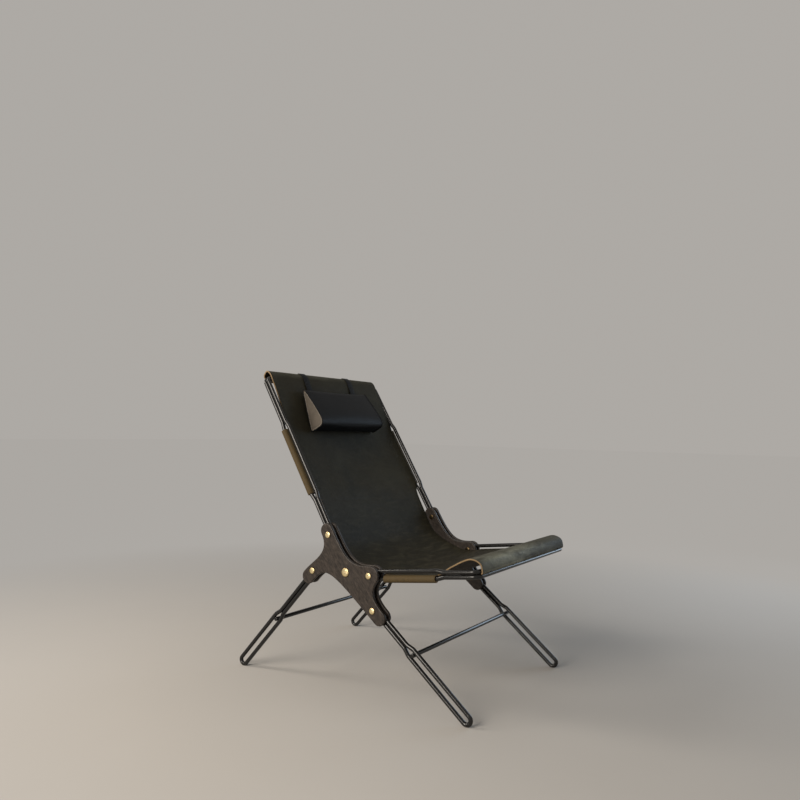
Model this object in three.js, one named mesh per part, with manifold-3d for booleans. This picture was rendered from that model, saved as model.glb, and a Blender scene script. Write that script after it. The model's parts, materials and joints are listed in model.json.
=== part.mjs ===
// Sling lounge chair. Two bent-rod frames and four hairpin legs are clamped at each side between a pair of
// wood cheek plates, one piece of thick leather hangs in the frames, and a headrest hangs on two straps.
// Millimetres. +Z is up, the sitter faces -Y and has +X at the left hand.
// A point of the side view is a Vector2 that holds (y, z).
import * as THREE from "three";
import { mergeVertices } from "three/addons/utils/BufferGeometryUtils.js";
import Module from "manifold-3d";

const wasm = await Module();
wasm.setup();

// Clearance between pieces that touch
const FIT = 0.3;

// Rods
const ROD = 12;
const FRAME_HALF = 285; // centre of the chair to the middle of the rods at one side
const CORNER_BEND = 18; // frame corners, to the middle of the rod
const JOG = 20; // length over which two rods spread or close up
const JOG_BEND = 24;
const ROD_SIDES = 10;
const BEND_STEP = THREE.MathUtils.degToRad(22.6);

// Bolts in the side view, each on the line of the rods that it holds
const BACK_BOLT = new THREE.Vector2(55, 437);
const SEAT_BOLT = new THREE.Vector2(-91, 339);
const REAR_LEG_BOLT = new THREE.Vector2(110, 329);
const FRONT_LEG_BOLT = new THREE.Vector2(-106, 246);
const CENTRE_BOLT = new THREE.Vector2(-11, 339);
const SHANK = 8;
const HEAD = 19;
const HEAD_HEIGHT = 3.2;
const CENTRE_SHANK = 10;
const CENTRE_HEAD = 26;
const NUT_WALL = 1.6;
const NUT_LIP = 2.6; // how far the nut's flange reaches past its barrel
const NUT_FLANGE = 2.4;
const THREAD_SHORT = 2; // the shank stops this far inside the nut's cap
const TURN_SIDES = 14;

// Lines of the rods, in degrees
const BACK_RECLINE = 31.3; // from upright
const SEAT_RISE = 7.4; // up towards the front
const REAR_LEG_SLOPE = 48; // below level
const FRONT_LEG_SLOPE = 38.6;

// Lengths along those lines, from the bolt
const BACK_REACH = 535; // to the bars across the top
const SEAT_REACH = 330; // to the bars across the front
const BACK_BARE_LENGTH = 183; // end of the leather sleeve to the bars
const SEAT_BARE_LENGTH = 123;
const BACK_TAB = [136, BACK_REACH - BACK_BARE_LENGTH]; // ends of the leather sleeve
const SEAT_TAB = [44, SEAT_REACH - SEAT_BARE_LENGTH];
const TAB_MARGIN = 4; // straight rod left past each end of a sleeve
const EYE_RUN = 12; // straight rod past the bolt before the two rods close up
const FRONT_STRETCHER_AT = 160;
const REAR_STRETCHER_AT = 222;
const FOOT_FLAT = 1; // depth of the flat that each foot stands on

// Cheek plates
const PLATE = 10;
const ARM_HALF = 21; // half the width of an arm at its round end
const SEAT_ARM_HALF = 26.5;
const BACK_ARM = 13; // bolt to the centre of the arm's round end
const SEAT_ARM = 4.5;
const REAR_LEG_ARM = 25;
const FRONT_LEG_ARM = 27;
const PLATE_EDGE = 2.5; // rounding
const SPACER_WALL = 7;

// Sling
const LEATHER = 4;
const EDGE_IN = 10; // edge of the leather inside the middle of the rods
const WAIST_IN = 23; // the same between the plates
const SLING_SAG = 32; // hang of the middle below the edges, where it is deepest
const HOOK_END = 52; // degrees that the leather turns in under its bar
const ROLL_RISE = 37; // top of the front roll above the line of the seat
const ROLL_BACK = 21; // top of the front roll behind the bar
const ROLL_LENGTH = 80; // front roll, from the bar to where it levels out
const HOLLOW_LENGTH = 60; // turn from the seat to the back, behind the seat bolt
const HOLLOW_RISE = 22; // its far end above the line of the seat
const WAIST_BACK = 11; // leather behind the line of the back, at the plates
const CROWN_RISE = 22; // top roll above the bars
const CROWN_LENGTH = 95; // leather that rises to the top roll
const NOTCH = 30; // length over which the panel narrows beside a sleeve
const TAB_LAP = 9; // sleeve flange that lies in the panel
const TAB_RETURN = 40; // flap that comes back under the panel
const SCREWS = 4;
const SCREW = 3;
const SCREW_HEAD = 6;
const SCREW_HEAD_HEIGHT = 1.4;
const SCREW_DEPTH = 5; // into the bar
const SCREW_INSET = 45; // edge of the leather to the first screw
const SCREW_TURN = 32; // degrees round the bar

// Headrest
const HEADREST_LENGTH = 330;
const HEADREST_TALL = 144; // along the back
const HEADREST_DEEP = 53; // at its nose
const HEADREST_TILT = 14; // its back leans out from the line of the rods, in degrees
const HEADREST_GAP = 2; // to the leather at its lower corners
const HEADREST_DROP = 7; // its foot below the upper end of the sleeves
const HEADREST_EDGE = 6; // rounding of its back corners
const STRAP_WIDTH = 26;
const STRAP = 2.4;
const STRAP_INSET = 49; // end of the headrest to the middle of a strap
const WEIGHT_TALL = 60;
const WEIGHT_THICK = 12;
const WEIGHT_DROP = 124; // top bars to the top of the counterweight, straight down
const WEIGHT_LIP = 6; // counterweight past the straps at each side

// Sizes that follow
const PAIR = ROD + FIT; // middle to middle of two rods side by side
const EYE = SHANK + ROD + 2 * FIT; // middle to middle round a bolt, and along a sleeve
const LEG_SPREAD = 2 * ROD + 2 * FIT; // middle to middle round a stretcher
const PLATE_INSIDE = ROD / 2 + FIT; // rod line to the plates' faces
const LEATHER_RADIUS = ROD / 2 + FIT + LEATHER / 2; // middle of leather wrapped round a rod
const SLING_HALF = FRAME_HALF - EDGE_IN;
const WAIST_HALF = FRAME_HALF - WAIST_IN;
const HOOK_HALF = FRAME_HALF - CORNER_BEND - FIT; // half width of the top hook, on the straight of its bar
const STRAP_APART = HEADREST_LENGTH - 2 * STRAP_INSET; // middle to middle
const TAB_LEVEL = LEATHER_RADIUS - EYE / 2; // middle of the panel above the line of the rods, at a sleeve

// Finishes
const finish = (color, roughness, metalness) => new THREE.MeshStandardMaterial({ color, roughness, metalness });
const blackSteel = () => finish(0x0d0d0e, 0.35, 0.6);
const darkWood = () => finish(0x2a1f1b, 0.45, 0);
const brass = () => finish(0xc29a4b, 0.3, 1);
const oliveLeather = () => finish(0x33342a, 0.55, 0);
const blackLeather = () => finish(0x15161a, 0.45, 0);

const X_AXIS = new THREE.Vector3(1, 0, 0);
const SIDE_VIEW = new THREE.Matrix4().makeBasis(
  new THREE.Vector3(0, 1, 0),
  new THREE.Vector3(0, 0, 1),
  X_AXIS,
);
const radians = THREE.MathUtils.degToRad;
const chair = new THREE.Group();

function addPiece(name, geometry, material) {
  const mesh = new THREE.Mesh(geometry, material);
  mesh.name = name;
  chair.add(mesh);
}

// A straight line of rods in the side view: s runs along it from the bolt, o lies across it.
class Run {
  constructor(bolt, degrees, turn = 1) {
    const angle = radians(degrees);
    this.bolt = bolt;
    this.along = new THREE.Vector2(Math.cos(angle), Math.sin(angle));
    this.across = new THREE.Vector2(-Math.sin(angle), Math.cos(angle)).multiplyScalar(turn);
  }

  at(s, o) {
    return this.bolt.clone().addScaledVector(this.along, s).addScaledVector(this.across, o);
  }

  point(x, s, o) {
    const p = this.at(s, o);
    return new THREE.Vector3(x, p.x, p.y);
  }
}

// On the back and the seat, positive o is the sitter's side.
const back = new Run(BACK_BOLT, 90 - BACK_RECLINE);
const seat = new Run(SEAT_BOLT, 180 - SEAT_RISE, -1);
const rearLeg = new Run(REAR_LEG_BOLT, -REAR_LEG_SLOPE);
const frontLeg = new Run(FRONT_LEG_BOLT, 180 + FRONT_LEG_SLOPE);

// Solids for cutting and joining
function solid(geometry) {
  const bare = geometry.clone();
  bare.deleteAttribute("normal");
  bare.deleteAttribute("uv");
  const merged = mergeVertices(bare, 1e-4);
  const vertProperties = new Float32Array(merged.attributes.position.array);
  const triVerts = new Uint32Array(merged.index.array);
  return new wasm.Manifold(new wasm.Mesh({ numProp: 3, vertProperties, triVerts }));
}

function geometryOf(body) {
  const mesh = body.getMesh();
  const geometry = new THREE.BufferGeometry();
  geometry.setAttribute("position", new THREE.BufferAttribute(new Float32Array(mesh.vertProperties), 3));
  geometry.setIndex(new THREE.BufferAttribute(new Uint32Array(mesh.triVerts), 1));
  geometry.computeVertexNormals();
  return geometry;
}

function cut(geometry, tools) {
  return geometryOf(tools.reduce((body, tool) => body.subtract(solid(tool)), solid(geometry)));
}

// Rings of a rod that runs straight between corners and bends round each one by its own radius
function rodRings(corners) {
  const count = corners.length;
  const rings = [];
  corners.forEach(({ at, bend }, i) => {
    const into = at.clone().sub(corners[(i + count - 1) % count].at).normalize();
    const out = corners[(i + 1) % count].at.clone().sub(at).normalize();
    const turn = into.angleTo(out);
    const axis = into.clone().cross(out).normalize();
    const start = at.clone().addScaledVector(into, -bend * Math.tan(turn / 2));
    const inward = axis.clone().cross(into);
    const centre = start.clone().addScaledVector(inward, bend);
    const steps = Math.max(1, Math.ceil(turn / BEND_STEP));
    for (let k = 0; k <= steps; k += 1) {
      const angle = (turn * k) / steps;
      const arm = start.clone().sub(centre).applyAxisAngle(axis, angle);
      rings.push({ at: centre.clone().add(arm), heading: into.clone().applyAxisAngle(axis, angle) });
    }
  });
  return rings;
}

// A round rod bent into a closed loop
function rodLoop(corners) {
  const rings = rodRings(corners);
  const normal = new THREE.Vector3(0.3, 0.5, 0.8).cross(rings[0].heading).normalize();
  const first = normal.clone();
  const turn = new THREE.Quaternion();
  const positions = [];
  const index = [];
  rings.forEach(({ at, heading }, i) => {
    if (i > 0) normal.applyQuaternion(turn.setFromUnitVectors(rings[i - 1].heading, heading));
    const side = heading.clone().cross(normal);
    for (let k = 0; k < ROD_SIDES; k += 1) {
      const angle = (2 * Math.PI * k) / ROD_SIDES;
      const p = at.clone();
      p.addScaledVector(normal, (Math.cos(angle) * ROD) / 2);
      p.addScaledVector(side, (Math.sin(angle) * ROD) / 2);
      positions.push(p.x, p.y, p.z);
    }
  });
  const last = rings.at(-1).heading;
  normal.applyQuaternion(turn.setFromUnitVectors(last, rings[0].heading));
  const twist = Math.atan2(rings[0].heading.clone().cross(first).dot(normal), first.dot(normal));
  const shift = Math.round((twist / (2 * Math.PI)) * ROD_SIDES);
  for (let i = 0; i < rings.length; i += 1) {
    const closing = i === rings.length - 1;
    const next = closing ? 0 : (i + 1) * ROD_SIDES;
    const skip = closing ? shift + ROD_SIDES : 0;
    for (let k = 0; k < ROD_SIDES; k += 1) {
      const a = i * ROD_SIDES + k;
      const b = i * ROD_SIDES + ((k + 1) % ROD_SIDES);
      const c = next + ((k + skip) % ROD_SIDES);
      const d = next + ((k + 1 + skip) % ROD_SIDES);
      index.push(a, b, d, a, d, c);
    }
  }
  const geometry = new THREE.BufferGeometry();
  geometry.setAttribute("position", new THREE.Float32BufferAttribute(positions, 3));
  geometry.setIndex(index);
  return geometry;
}

// Half width of a pair of rods along its run, as corners from the bolt outwards
function backHalves() {
  const [start, end] = BACK_TAB;
  return [
    [EYE_RUN, EYE / 2],
    [EYE_RUN + JOG, PAIR / 2],
    [start - TAB_MARGIN - JOG, PAIR / 2],
    [start - TAB_MARGIN, EYE / 2],
    [end + TAB_MARGIN, EYE / 2],
    [end + TAB_MARGIN + JOG, PAIR / 2],
  ];
}

function seatHalves() {
  const end = SEAT_TAB[1] + TAB_MARGIN;
  return [
    [end, EYE / 2],
    [end + JOG, PAIR / 2],
  ];
}

function legHalves(stretcherAt) {
  const spread = stretcherAt - ROD / 2 - TAB_MARGIN;
  return [
    [EYE_RUN, EYE / 2],
    [EYE_RUN + JOG, PAIR / 2],
    [spread - JOG, PAIR / 2],
    [spread, LEG_SPREAD / 2],
  ];
}

// The bend round a bolt, entered on one rod and left on the other
function eyeCorners(run, x, enter) {
  return [enter, -enter].map((side) => ({ at: run.point(x, -EYE / 2, (side * EYE) / 2), bend: EYE / 2 - 0.01 }));
}

function jogCorners(run, x, side, halves) {
  return halves.map(([s, half]) => ({ at: run.point(x, s, side * half), bend: JOG_BEND }));
}

// A frame: down one front rod, round its bolt, up the rear rod, across, and back on the other side
function frameLoop(run, reach, halves) {
  const bars = (x, side) => ({ at: run.point(x, reach, (side * PAIR) / 2), bend: CORNER_BEND });
  const inwards = [...halves].reverse();
  return rodLoop([
    bars(-FRAME_HALF, 1),
    ...jogCorners(run, -FRAME_HALF, 1, inwards),
    ...eyeCorners(run, -FRAME_HALF, 1),
    ...jogCorners(run, -FRAME_HALF, -1, halves),
    bars(-FRAME_HALF, -1),
    bars(FRAME_HALF, -1),
    ...jogCorners(run, FRAME_HALF, -1, inwards),
    ...eyeCorners(run, FRAME_HALF, -1),
    ...jogCorners(run, FRAME_HALF, 1, halves),
    bars(FRAME_HALF, 1),
  ]);
}

function legLoop(run, x, stretcherAt) {
  const footRadius = (LEG_SPREAD + ROD) / 2;
  const footAt = (footRadius - FOOT_FLAT - run.bolt.y) / run.along.y;
  const halves = legHalves(stretcherAt);
  const foot = (side) => ({
    at: run.point(x, footAt + LEG_SPREAD / 2, (side * LEG_SPREAD) / 2),
    bend: LEG_SPREAD / 2 - 0.01,
  });
  const loop = rodLoop([
    ...eyeCorners(run, x, 1),
    ...jogCorners(run, x, -1, halves),
    foot(-1),
    foot(1),
    ...jogCorners(run, x, 1, [...halves].reverse()),
  ]);
  const toe = run.at(footAt, 0);
  const floor = new THREE.BoxGeometry(2 * ROD, 2 * LEG_SPREAD + ROD, ROD);
  floor.translate(x, toe.x, -ROD / 2);
  return cut(loop, [floor]);
}

// A turned piece: radius and height along its own axis, which points outwards at the given side
function turned(profile, side, x, at) {
  const points = profile.map(([radius, height]) => new THREE.Vector2(radius, height));
  const geometry = new THREE.LatheGeometry(points, TURN_SIDES);
  geometry.rotateZ((-side * Math.PI) / 2);
  geometry.translate(x, at.x, at.y);
  return geometry;
}

const OUTER_FACE = FRAME_HALF + PLATE_INSIDE + PLATE;
const INNER_FACE = FRAME_HALF - PLATE_INSIDE - PLATE;

function boltProfile(shank, head) {
  const length = OUTER_FACE + FIT - INNER_FACE - THREAD_SHORT;
  return [
    [0, -length],
    [shank / 2, -length],
    [shank / 2, 0],
    [head / 2, 0],
    [head / 2, HEAD_HEIGHT * 0.55],
    [head * 0.36, HEAD_HEIGHT],
    [0, HEAD_HEIGHT],
  ];
}

// The nut's height runs inwards from the plate's inner face
function nutProfile(shank) {
  const bore = shank / 2 + FIT;
  const barrel = bore + NUT_WALL;
  const flange = barrel + NUT_LIP;
  return [
    [0, FIT],
    [bore, FIT],
    [bore, FIT - PLATE],
    [barrel, FIT - PLATE],
    [barrel, FIT],
    [flange, FIT],
    [flange, FIT + NUT_FLANGE * 0.6],
    [flange * 0.8, FIT + NUT_FLANGE],
    [0, FIT + NUT_FLANGE],
  ];
}

const nutBarrel = (shank) => shank / 2 + FIT + NUT_WALL;

// Cheek plate: four arms with round ends, joined by hollow curves. The round end turns past the arm's line by
// its sweep, in degrees, and the two pulls say how far the curve before and after it keeps its direction.
const ARMS = [
  { run: back, reach: BACK_ARM, half: ARM_HALF, sweep: 90, pulls: [62, 98] },
  { run: seat, reach: SEAT_ARM, half: SEAT_ARM_HALF, sweep: 45, pulls: [66, 28] },
  { run: frontLeg, reach: FRONT_LEG_ARM, half: ARM_HALF, sweep: 90, pulls: [52, 212] },
  { run: rearLeg, reach: REAR_LEG_ARM, half: ARM_HALF, sweep: 90, pulls: [72, 50] },
];
const BOLTS = [
  { name: "back", at: BACK_BOLT, shank: SHANK, head: HEAD },
  { name: "seat", at: SEAT_BOLT, shank: SHANK, head: HEAD },
  { name: "front_leg", at: FRONT_LEG_BOLT, shank: SHANK, head: HEAD },
  { name: "rear_leg", at: REAR_LEG_BOLT, shank: SHANK, head: HEAD },
  { name: "centre", at: CENTRE_BOLT, shank: CENTRE_SHANK, head: CENTRE_HEAD },
];

function plateOutline() {
  const shape = new THREE.Shape();
  const ends = ARMS.map(({ run, reach, half, sweep, pulls }) => {
    const heading = Math.atan2(run.along.y, run.along.x);
    const [from, to] = [heading - Math.PI / 2, heading + radians(sweep)];
    const pointing = (angle) => new THREE.Vector2(Math.cos(angle), Math.sin(angle));
    const centre = run.at(reach, 0);
    const first = centre.clone().addScaledVector(pointing(from), half);
    const last = centre.clone().addScaledVector(pointing(to), half);
    const arrive = first.clone().addScaledVector(run.along, -pulls[0]);
    const leave = last.clone().addScaledVector(pointing(to + Math.PI / 2), pulls[1]);
    return { centre, half, from, to, first, arrive, leave };
  });
  shape.moveTo(ends[0].first.x, ends[0].first.y);
  ends.forEach((end, i) => {
    const next = ends[(i + 1) % ends.length];
    shape.absarc(end.centre.x, end.centre.y, end.half, end.from, end.to);
    const [leave, arrive] = [end.leave, next.arrive];
    shape.bezierCurveTo(leave.x, leave.y, arrive.x, arrive.y, next.first.x, next.first.y);
  });
  return shape;
}

function plate(side, inner) {
  const geometry = new THREE.ExtrudeGeometry(plateOutline(), {
    depth: PLATE - 2 * PLATE_EDGE,
    bevelThickness: PLATE_EDGE,
    bevelSize: PLATE_EDGE,
    bevelOffset: -PLATE_EDGE,
    bevelSegments: 1,
    curveSegments: 7,
  });
  geometry.applyMatrix4(SIDE_VIEW);
  const nearFace = inner ? INNER_FACE : FRAME_HALF + PLATE_INSIDE;
  const lowest = side > 0 ? nearFace : -nearFace - PLATE;
  geometry.translate(lowest + PLATE_EDGE, 0, 0);
  const middle = side * (nearFace + PLATE / 2);
  const holes = BOLTS.map(({ at, shank }) => {
    const radius = (inner ? nutBarrel(shank) : shank / 2) + FIT;
    const hole = new THREE.CylinderGeometry(radius, radius, 2 * PLATE, TURN_SIDES);
    hole.rotateZ(Math.PI / 2);
    hole.translate(middle, at.x, at.y);
    return hole;
  });
  return cut(geometry, holes);
}

// Sling profile from the front hook to the top hook. Each stop gives the leather's edge, how far the middle
// hangs below it, and the half width there. A stop's o and sag lie across its run.
const FRONT_BAR = { s: SEAT_REACH, o: PAIR / 2 };
const REAR_BAR = { s: BACK_REACH, o: -PAIR / 2 };
const hookAt = (run, bar, degrees, half) => ({
  run,
  s: bar.s + LEATHER_RADIUS * Math.cos(radians(degrees)),
  o: bar.o + LEATHER_RADIUS * Math.sin(radians(degrees)),
  sag: 0,
  half,
});
const stop = (run, s, o, sag, half) => ({ run, s, o, sag, half });
const SLING_STOPS = [
  hookAt(seat, FRONT_BAR, -HOOK_END, SLING_HALF),
  hookAt(seat, FRONT_BAR, -HOOK_END / 2, SLING_HALF),
  hookAt(seat, FRONT_BAR, 8, SLING_HALF),
  stop(seat, SEAT_REACH + LEATHER_RADIUS / 2, ROLL_RISE * 0.68, 0, SLING_HALF),
  stop(seat, SEAT_REACH - ROLL_BACK, ROLL_RISE, 0, SLING_HALF),
  stop(seat, SEAT_REACH - ROLL_LENGTH, ROLL_RISE / 2, SLING_SAG * 0.06, SLING_HALF),
  stop(seat, SEAT_TAB[1], TAB_LEVEL, SLING_SAG * 0.19, SLING_HALF),
  stop(seat, (SEAT_TAB[0] + SEAT_TAB[1]) / 2, TAB_LEVEL, SLING_SAG * 0.5, SLING_HALF),
  stop(seat, SEAT_TAB[0] + NOTCH, TAB_LEVEL, SLING_SAG * 0.6, SLING_HALF),
  stop(seat, SEAT_TAB[0], TAB_LEVEL, SLING_SAG * 0.63, WAIST_HALF),
  stop(seat, 0, TAB_LEVEL, SLING_SAG * 0.69, WAIST_HALF),
  stop(seat, -HOLLOW_LENGTH, HOLLOW_RISE, SLING_SAG * 0.75, WAIST_HALF),
  stop(back, -HOLLOW_LENGTH * 0.75, -WAIST_BACK, SLING_SAG * 0.75, WAIST_HALF),
  stop(back, HOLLOW_LENGTH / 2, -WAIST_BACK, SLING_SAG * 0.75, WAIST_HALF),
  stop(back, BACK_TAB[0] - NOTCH, TAB_LEVEL - LEATHER * 0.75, SLING_SAG * 0.81, WAIST_HALF),
  stop(back, BACK_TAB[0], TAB_LEVEL, SLING_SAG * 0.88, SLING_HALF),
  stop(back, (BACK_TAB[0] + BACK_TAB[1]) / 2, TAB_LEVEL, SLING_SAG, SLING_HALF),
  stop(back, BACK_TAB[1], TAB_LEVEL, SLING_SAG * 0.6, SLING_HALF),
  stop(back, BACK_REACH - CROWN_LENGTH, ROD * 0.64, SLING_SAG * 0.375, SLING_HALF),
  stop(back, BACK_REACH - CROWN_RISE * 0.68, PAIR / 2 + LEATHER_RADIUS, 0, SLING_HALF),
  stop(back, BACK_REACH + CROWN_RISE * 0.45, PAIR / 2 + LEATHER_RADIUS, 0, SLING_HALF),
  stop(back, BACK_REACH + CROWN_RISE, PAIR / 2, 0, SLING_HALF),
  stop(back, BACK_REACH + CROWN_RISE * 0.64, -PAIR * 0.9, 0, SLING_HALF),
  hookAt(back, REAR_BAR, -86, HOOK_HALF),
  hookAt(back, REAR_BAR, -90 - HOOK_END / 2, HOOK_HALF),
  hookAt(back, REAR_BAR, -90 - HOOK_END, HOOK_HALF),
];
const SLING_STEPS = 2; // between two stops
const SLING_STRIPS = 8; // across the width

const edgeCurve = new THREE.CatmullRomCurve3(SLING_STOPS.map(({ run, s, o, half }) => run.point(half, s, o)));
const middleCurve = new THREE.CatmullRomCurve3(SLING_STOPS.map(({ run, s, o, sag }) => run.point(0, s, o - sag)));

// The leather's middle layer at a share of its width, with the direction out of its upper face
function slingPoint(t, share) {
  const edge = edgeCurve.getPoint(t);
  const at = middleCurve.getPoint(t).lerp(edge.clone().setX(0), share * share);
  const heading = middleCurve.getTangent(t);
  const normal = X_AXIS.clone().cross(heading).normalize();
  at.x = share * edge.x;
  return { at, normal };
}

function slingPanel() {
  const rows = (SLING_STOPS.length - 1) * SLING_STEPS + 1;
  const columns = SLING_STRIPS + 1;
  const faces = [[], []];
  for (let i = 0; i < rows; i += 1) {
    for (let j = 0; j < columns; j += 1) {
      const { at, normal } = slingPoint(i / (rows - 1), (2 * j) / SLING_STRIPS - 1);
      [1, -1].forEach((face, k) => {
        const p = at.clone().addScaledVector(normal, (face * LEATHER) / 2);
        faces[k].push(p.x, p.y, p.z);
      });
    }
  }
  const under = rows * columns;
  const index = [];
  const quad = (a, b, c, d) => index.push(a, b, c, a, c, d);
  const cell = (i, j) => i * columns + j;
  for (let i = 0; i + 1 < rows; i += 1) {
    for (let j = 0; j + 1 < columns; j += 1) {
      quad(cell(i, j), cell(i, j + 1), cell(i + 1, j + 1), cell(i + 1, j));
      quad(under + cell(i, j), under + cell(i + 1, j), under + cell(i + 1, j + 1), under + cell(i, j + 1));
    }
    const [near, far] = [cell(i, 0), cell(i, columns - 1)];
    quad(near, near + columns, under + near + columns, under + near);
    quad(far, under + far, under + far + columns, far + columns);
  }
  for (let j = 0; j + 1 < columns; j += 1) {
    const [front, top] = [cell(0, j), cell(rows - 1, j)];
    quad(front, under + front, under + front + 1, front + 1);
    quad(top, top + 1, under + top + 1, under + top);
  }
  const geometry = new THREE.BufferGeometry();
  geometry.setAttribute("position", new THREE.Float32BufferAttribute([...faces[0], ...faces[1]], 3));
  geometry.setIndex(index);
  return geometry;
}

// Outline of a strip of even thickness along a line of points
function stripOutline(points, thickness) {
  const sides = [[], []];
  points.forEach((p, i) => {
    const before = points[Math.max(i - 1, 0)];
    const after = points[Math.min(i + 1, points.length - 1)];
    const heading = after.clone().sub(before).normalize();
    const normal = new THREE.Vector2(-heading.y, heading.x);
    sides[0].push(p.clone().addScaledVector(normal, thickness / 2));
    sides[1].push(p.clone().addScaledVector(normal, -thickness / 2));
  });
  return new THREE.Shape([...sides[0], ...sides[1].reverse()]);
}

// A side tab: out between the two rods, round the outer one of the pair, and back under the panel
function slingTab(run, [start, end], side) {
  const rodAt = -EYE / 2;
  const line = [new THREE.Vector2(side * (SLING_HALF - TAB_LAP), TAB_LEVEL)];
  const turns = 10;
  for (let k = 0; k <= turns; k += 1) {
    const angle = Math.PI / 2 - (Math.PI * k) / turns;
    const out = side * (FRAME_HALF + LEATHER_RADIUS * Math.cos(angle));
    line.push(new THREE.Vector2(out, rodAt + LEATHER_RADIUS * Math.sin(angle)));
  }
  line.push(new THREE.Vector2(side * (FRAME_HALF - TAB_RETURN * 0.5), rodAt - LEATHER_RADIUS + 0.5));
  line.push(new THREE.Vector2(side * (FRAME_HALF - TAB_RETURN), TAB_LEVEL - LEATHER * 1.9));
  const geometry = new THREE.ExtrudeGeometry(stripOutline(line, LEATHER), {
    depth: end - start,
    steps: 1,
    bevelEnabled: false,
  });
  const across = new THREE.Vector3(0, run.across.x, run.across.y);
  const along = new THREE.Vector3(0, run.along.x, run.along.y);
  const depth = X_AXIS.clone().cross(across);
  const frame = new THREE.Matrix4().makeBasis(X_AXIS, across, depth);
  frame.setPosition(run.point(0, depth.dot(along) > 0 ? start : end, 0));
  return geometry.applyMatrix4(frame);
}

// Screws that hold the leather's two ends, set square to the bar
const SLING_ENDS = [
  { name: "front", run: seat, bar: FRONT_BAR, degrees: -SCREW_TURN },
  { name: "top", run: back, bar: REAR_BAR, degrees: -90 - SCREW_TURN },
];

function screwPlaces({ name, run, bar, degrees }) {
  const angle = radians(degrees);
  const out = run.along.clone().multiplyScalar(Math.cos(angle)).addScaledVector(run.across, Math.sin(angle));
  const axis = new THREE.Vector3(0, out.x, out.y);
  return Array.from({ length: SCREWS }, (_, i) => ({
    name: `sling_${name}_screw_${i + 1}`,
    at: run.point((SLING_HALF - SCREW_INSET) * ((2 * i) / (SCREWS - 1) - 1), bar.s, bar.o),
    axis,
  }));
}

const SCREW_PLACES = SLING_ENDS.flatMap(screwPlaces);
const UP = new THREE.Vector3(0, 1, 0);

function alongAxis(geometry, { at, axis }) {
  geometry.applyQuaternion(new THREE.Quaternion().setFromUnitVectors(UP, axis));
  return geometry.translate(at.x, at.y, at.z);
}

function screw(place) {
  const tip = ROD / 2 - SCREW_DEPTH;
  const under = ROD / 2 + LEATHER + 2 * FIT;
  const profile = [
    [0, tip],
    [SCREW / 2, tip],
    [SCREW / 2, under],
    [SCREW_HEAD / 2, under],
    [SCREW_HEAD * 0.3, under + SCREW_HEAD_HEIGHT],
    [0, under + SCREW_HEAD_HEIGHT],
  ];
  const points = profile.map(([radius, height]) => new THREE.Vector2(radius, height));
  return alongAxis(new THREE.LatheGeometry(points, 8), place);
}

function screwHole(place) {
  const from = ROD / 2 - SCREW_DEPTH - FIT;
  const to = ROD + LEATHER;
  const hole = new THREE.CylinderGeometry(SCREW / 2 + FIT, SCREW / 2 + FIT, to - from, 8);
  return alongAxis(hole.translate(0, (from + to) / 2, 0), place);
}

function sling() {
  const tabs = [-1, 1].flatMap((side) => [slingTab(seat, SEAT_TAB, side), slingTab(back, BACK_TAB, side)]);
  const whole = tabs.reduce((body, tab) => body.add(solid(tab)), solid(slingPanel()));
  return geometryOf(SCREW_PLACES.reduce((body, place) => body.subtract(solid(screwHole(place))), whole));
}

// Headrest: a wedge with a round nose, laid with its thick edge down, and crowned between its ends
const HEADREST_FOOT = BACK_TAB[1] - HEADREST_DROP;
const REST_SHARE = HEADREST_LENGTH / 2 / SLING_HALF;
const REST_SAG = SLING_STOPS.find(({ run, s }) => run === back && s === BACK_TAB[1]).sag;
const HEADREST_BACK = TAB_LEVEL - REST_SAG * (1 - REST_SHARE ** 2) + LEATHER / 2 + HEADREST_GAP;
const headrest = new Run(back.at(HEADREST_FOOT, HEADREST_BACK), 90 - BACK_RECLINE + HEADREST_TILT);

function headrestOutline() {
  const [tall, nose, edge] = [HEADREST_TALL, HEADREST_DEEP, HEADREST_EDGE];
  const top = tall - edge * 0.67;
  const shape = new THREE.Shape();
  shape.moveTo(edge, 0);
  shape.lineTo(top, 0);
  shape.quadraticCurveTo(tall + edge / 6, edge / 3, top, edge * 1.33);
  shape.bezierCurveTo(tall * 0.68, nose * 0.49, tall * 0.42, nose * 0.85, nose * 0.64, nose * 0.97);
  shape.bezierCurveTo(nose * 0.42, nose * 1.02, nose * 0.24, nose * 0.96, nose * 0.18, nose * 0.7);
  shape.quadraticCurveTo(0, 0, edge, 0);
  return shape.getPoints(6);
}

const HEADREST_TOP = headrestOutline().reduce((top, p) => (p.x > top.x ? p : top));

function headrestBody() {
  const outline = headrestOutline().slice(0, -1);
  const middle = new THREE.Vector2(HEADREST_TALL * 0.36, HEADREST_DEEP * 0.42);
  const stations = [
    [-0.5, 0.0],
    [-0.5, 0.95],
    [-0.488, 0.985],
    [-0.4, 1.0],
    [0.4, 1.0],
    [0.488, 0.985],
    [0.5, 0.95],
    [0.5, 0.0],
  ];
  const positions = [];
  const index = [];
  const count = outline.length;
  stations.forEach(([place, size]) => {
    outline.forEach((p) => {
      const q = p.clone().sub(middle).multiplyScalar(size).add(middle);
      const at = headrest.point(place * HEADREST_LENGTH, q.x, q.y);
      positions.push(at.x, at.y, at.z);
    });
  });
  for (let i = 0; i + 1 < stations.length; i += 1) {
    for (let k = 0; k < count; k += 1) {
      const a = i * count + k;
      const b = i * count + ((k + 1) % count);
      index.push(a, b, b + count, a, b + count, a + count);
    }
  }
  const geometry = new THREE.BufferGeometry();
  geometry.setAttribute("position", new THREE.Float32BufferAttribute(positions, 3));
  geometry.setIndex(index);
  return geometryOf(solid(geometry));
}

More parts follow.
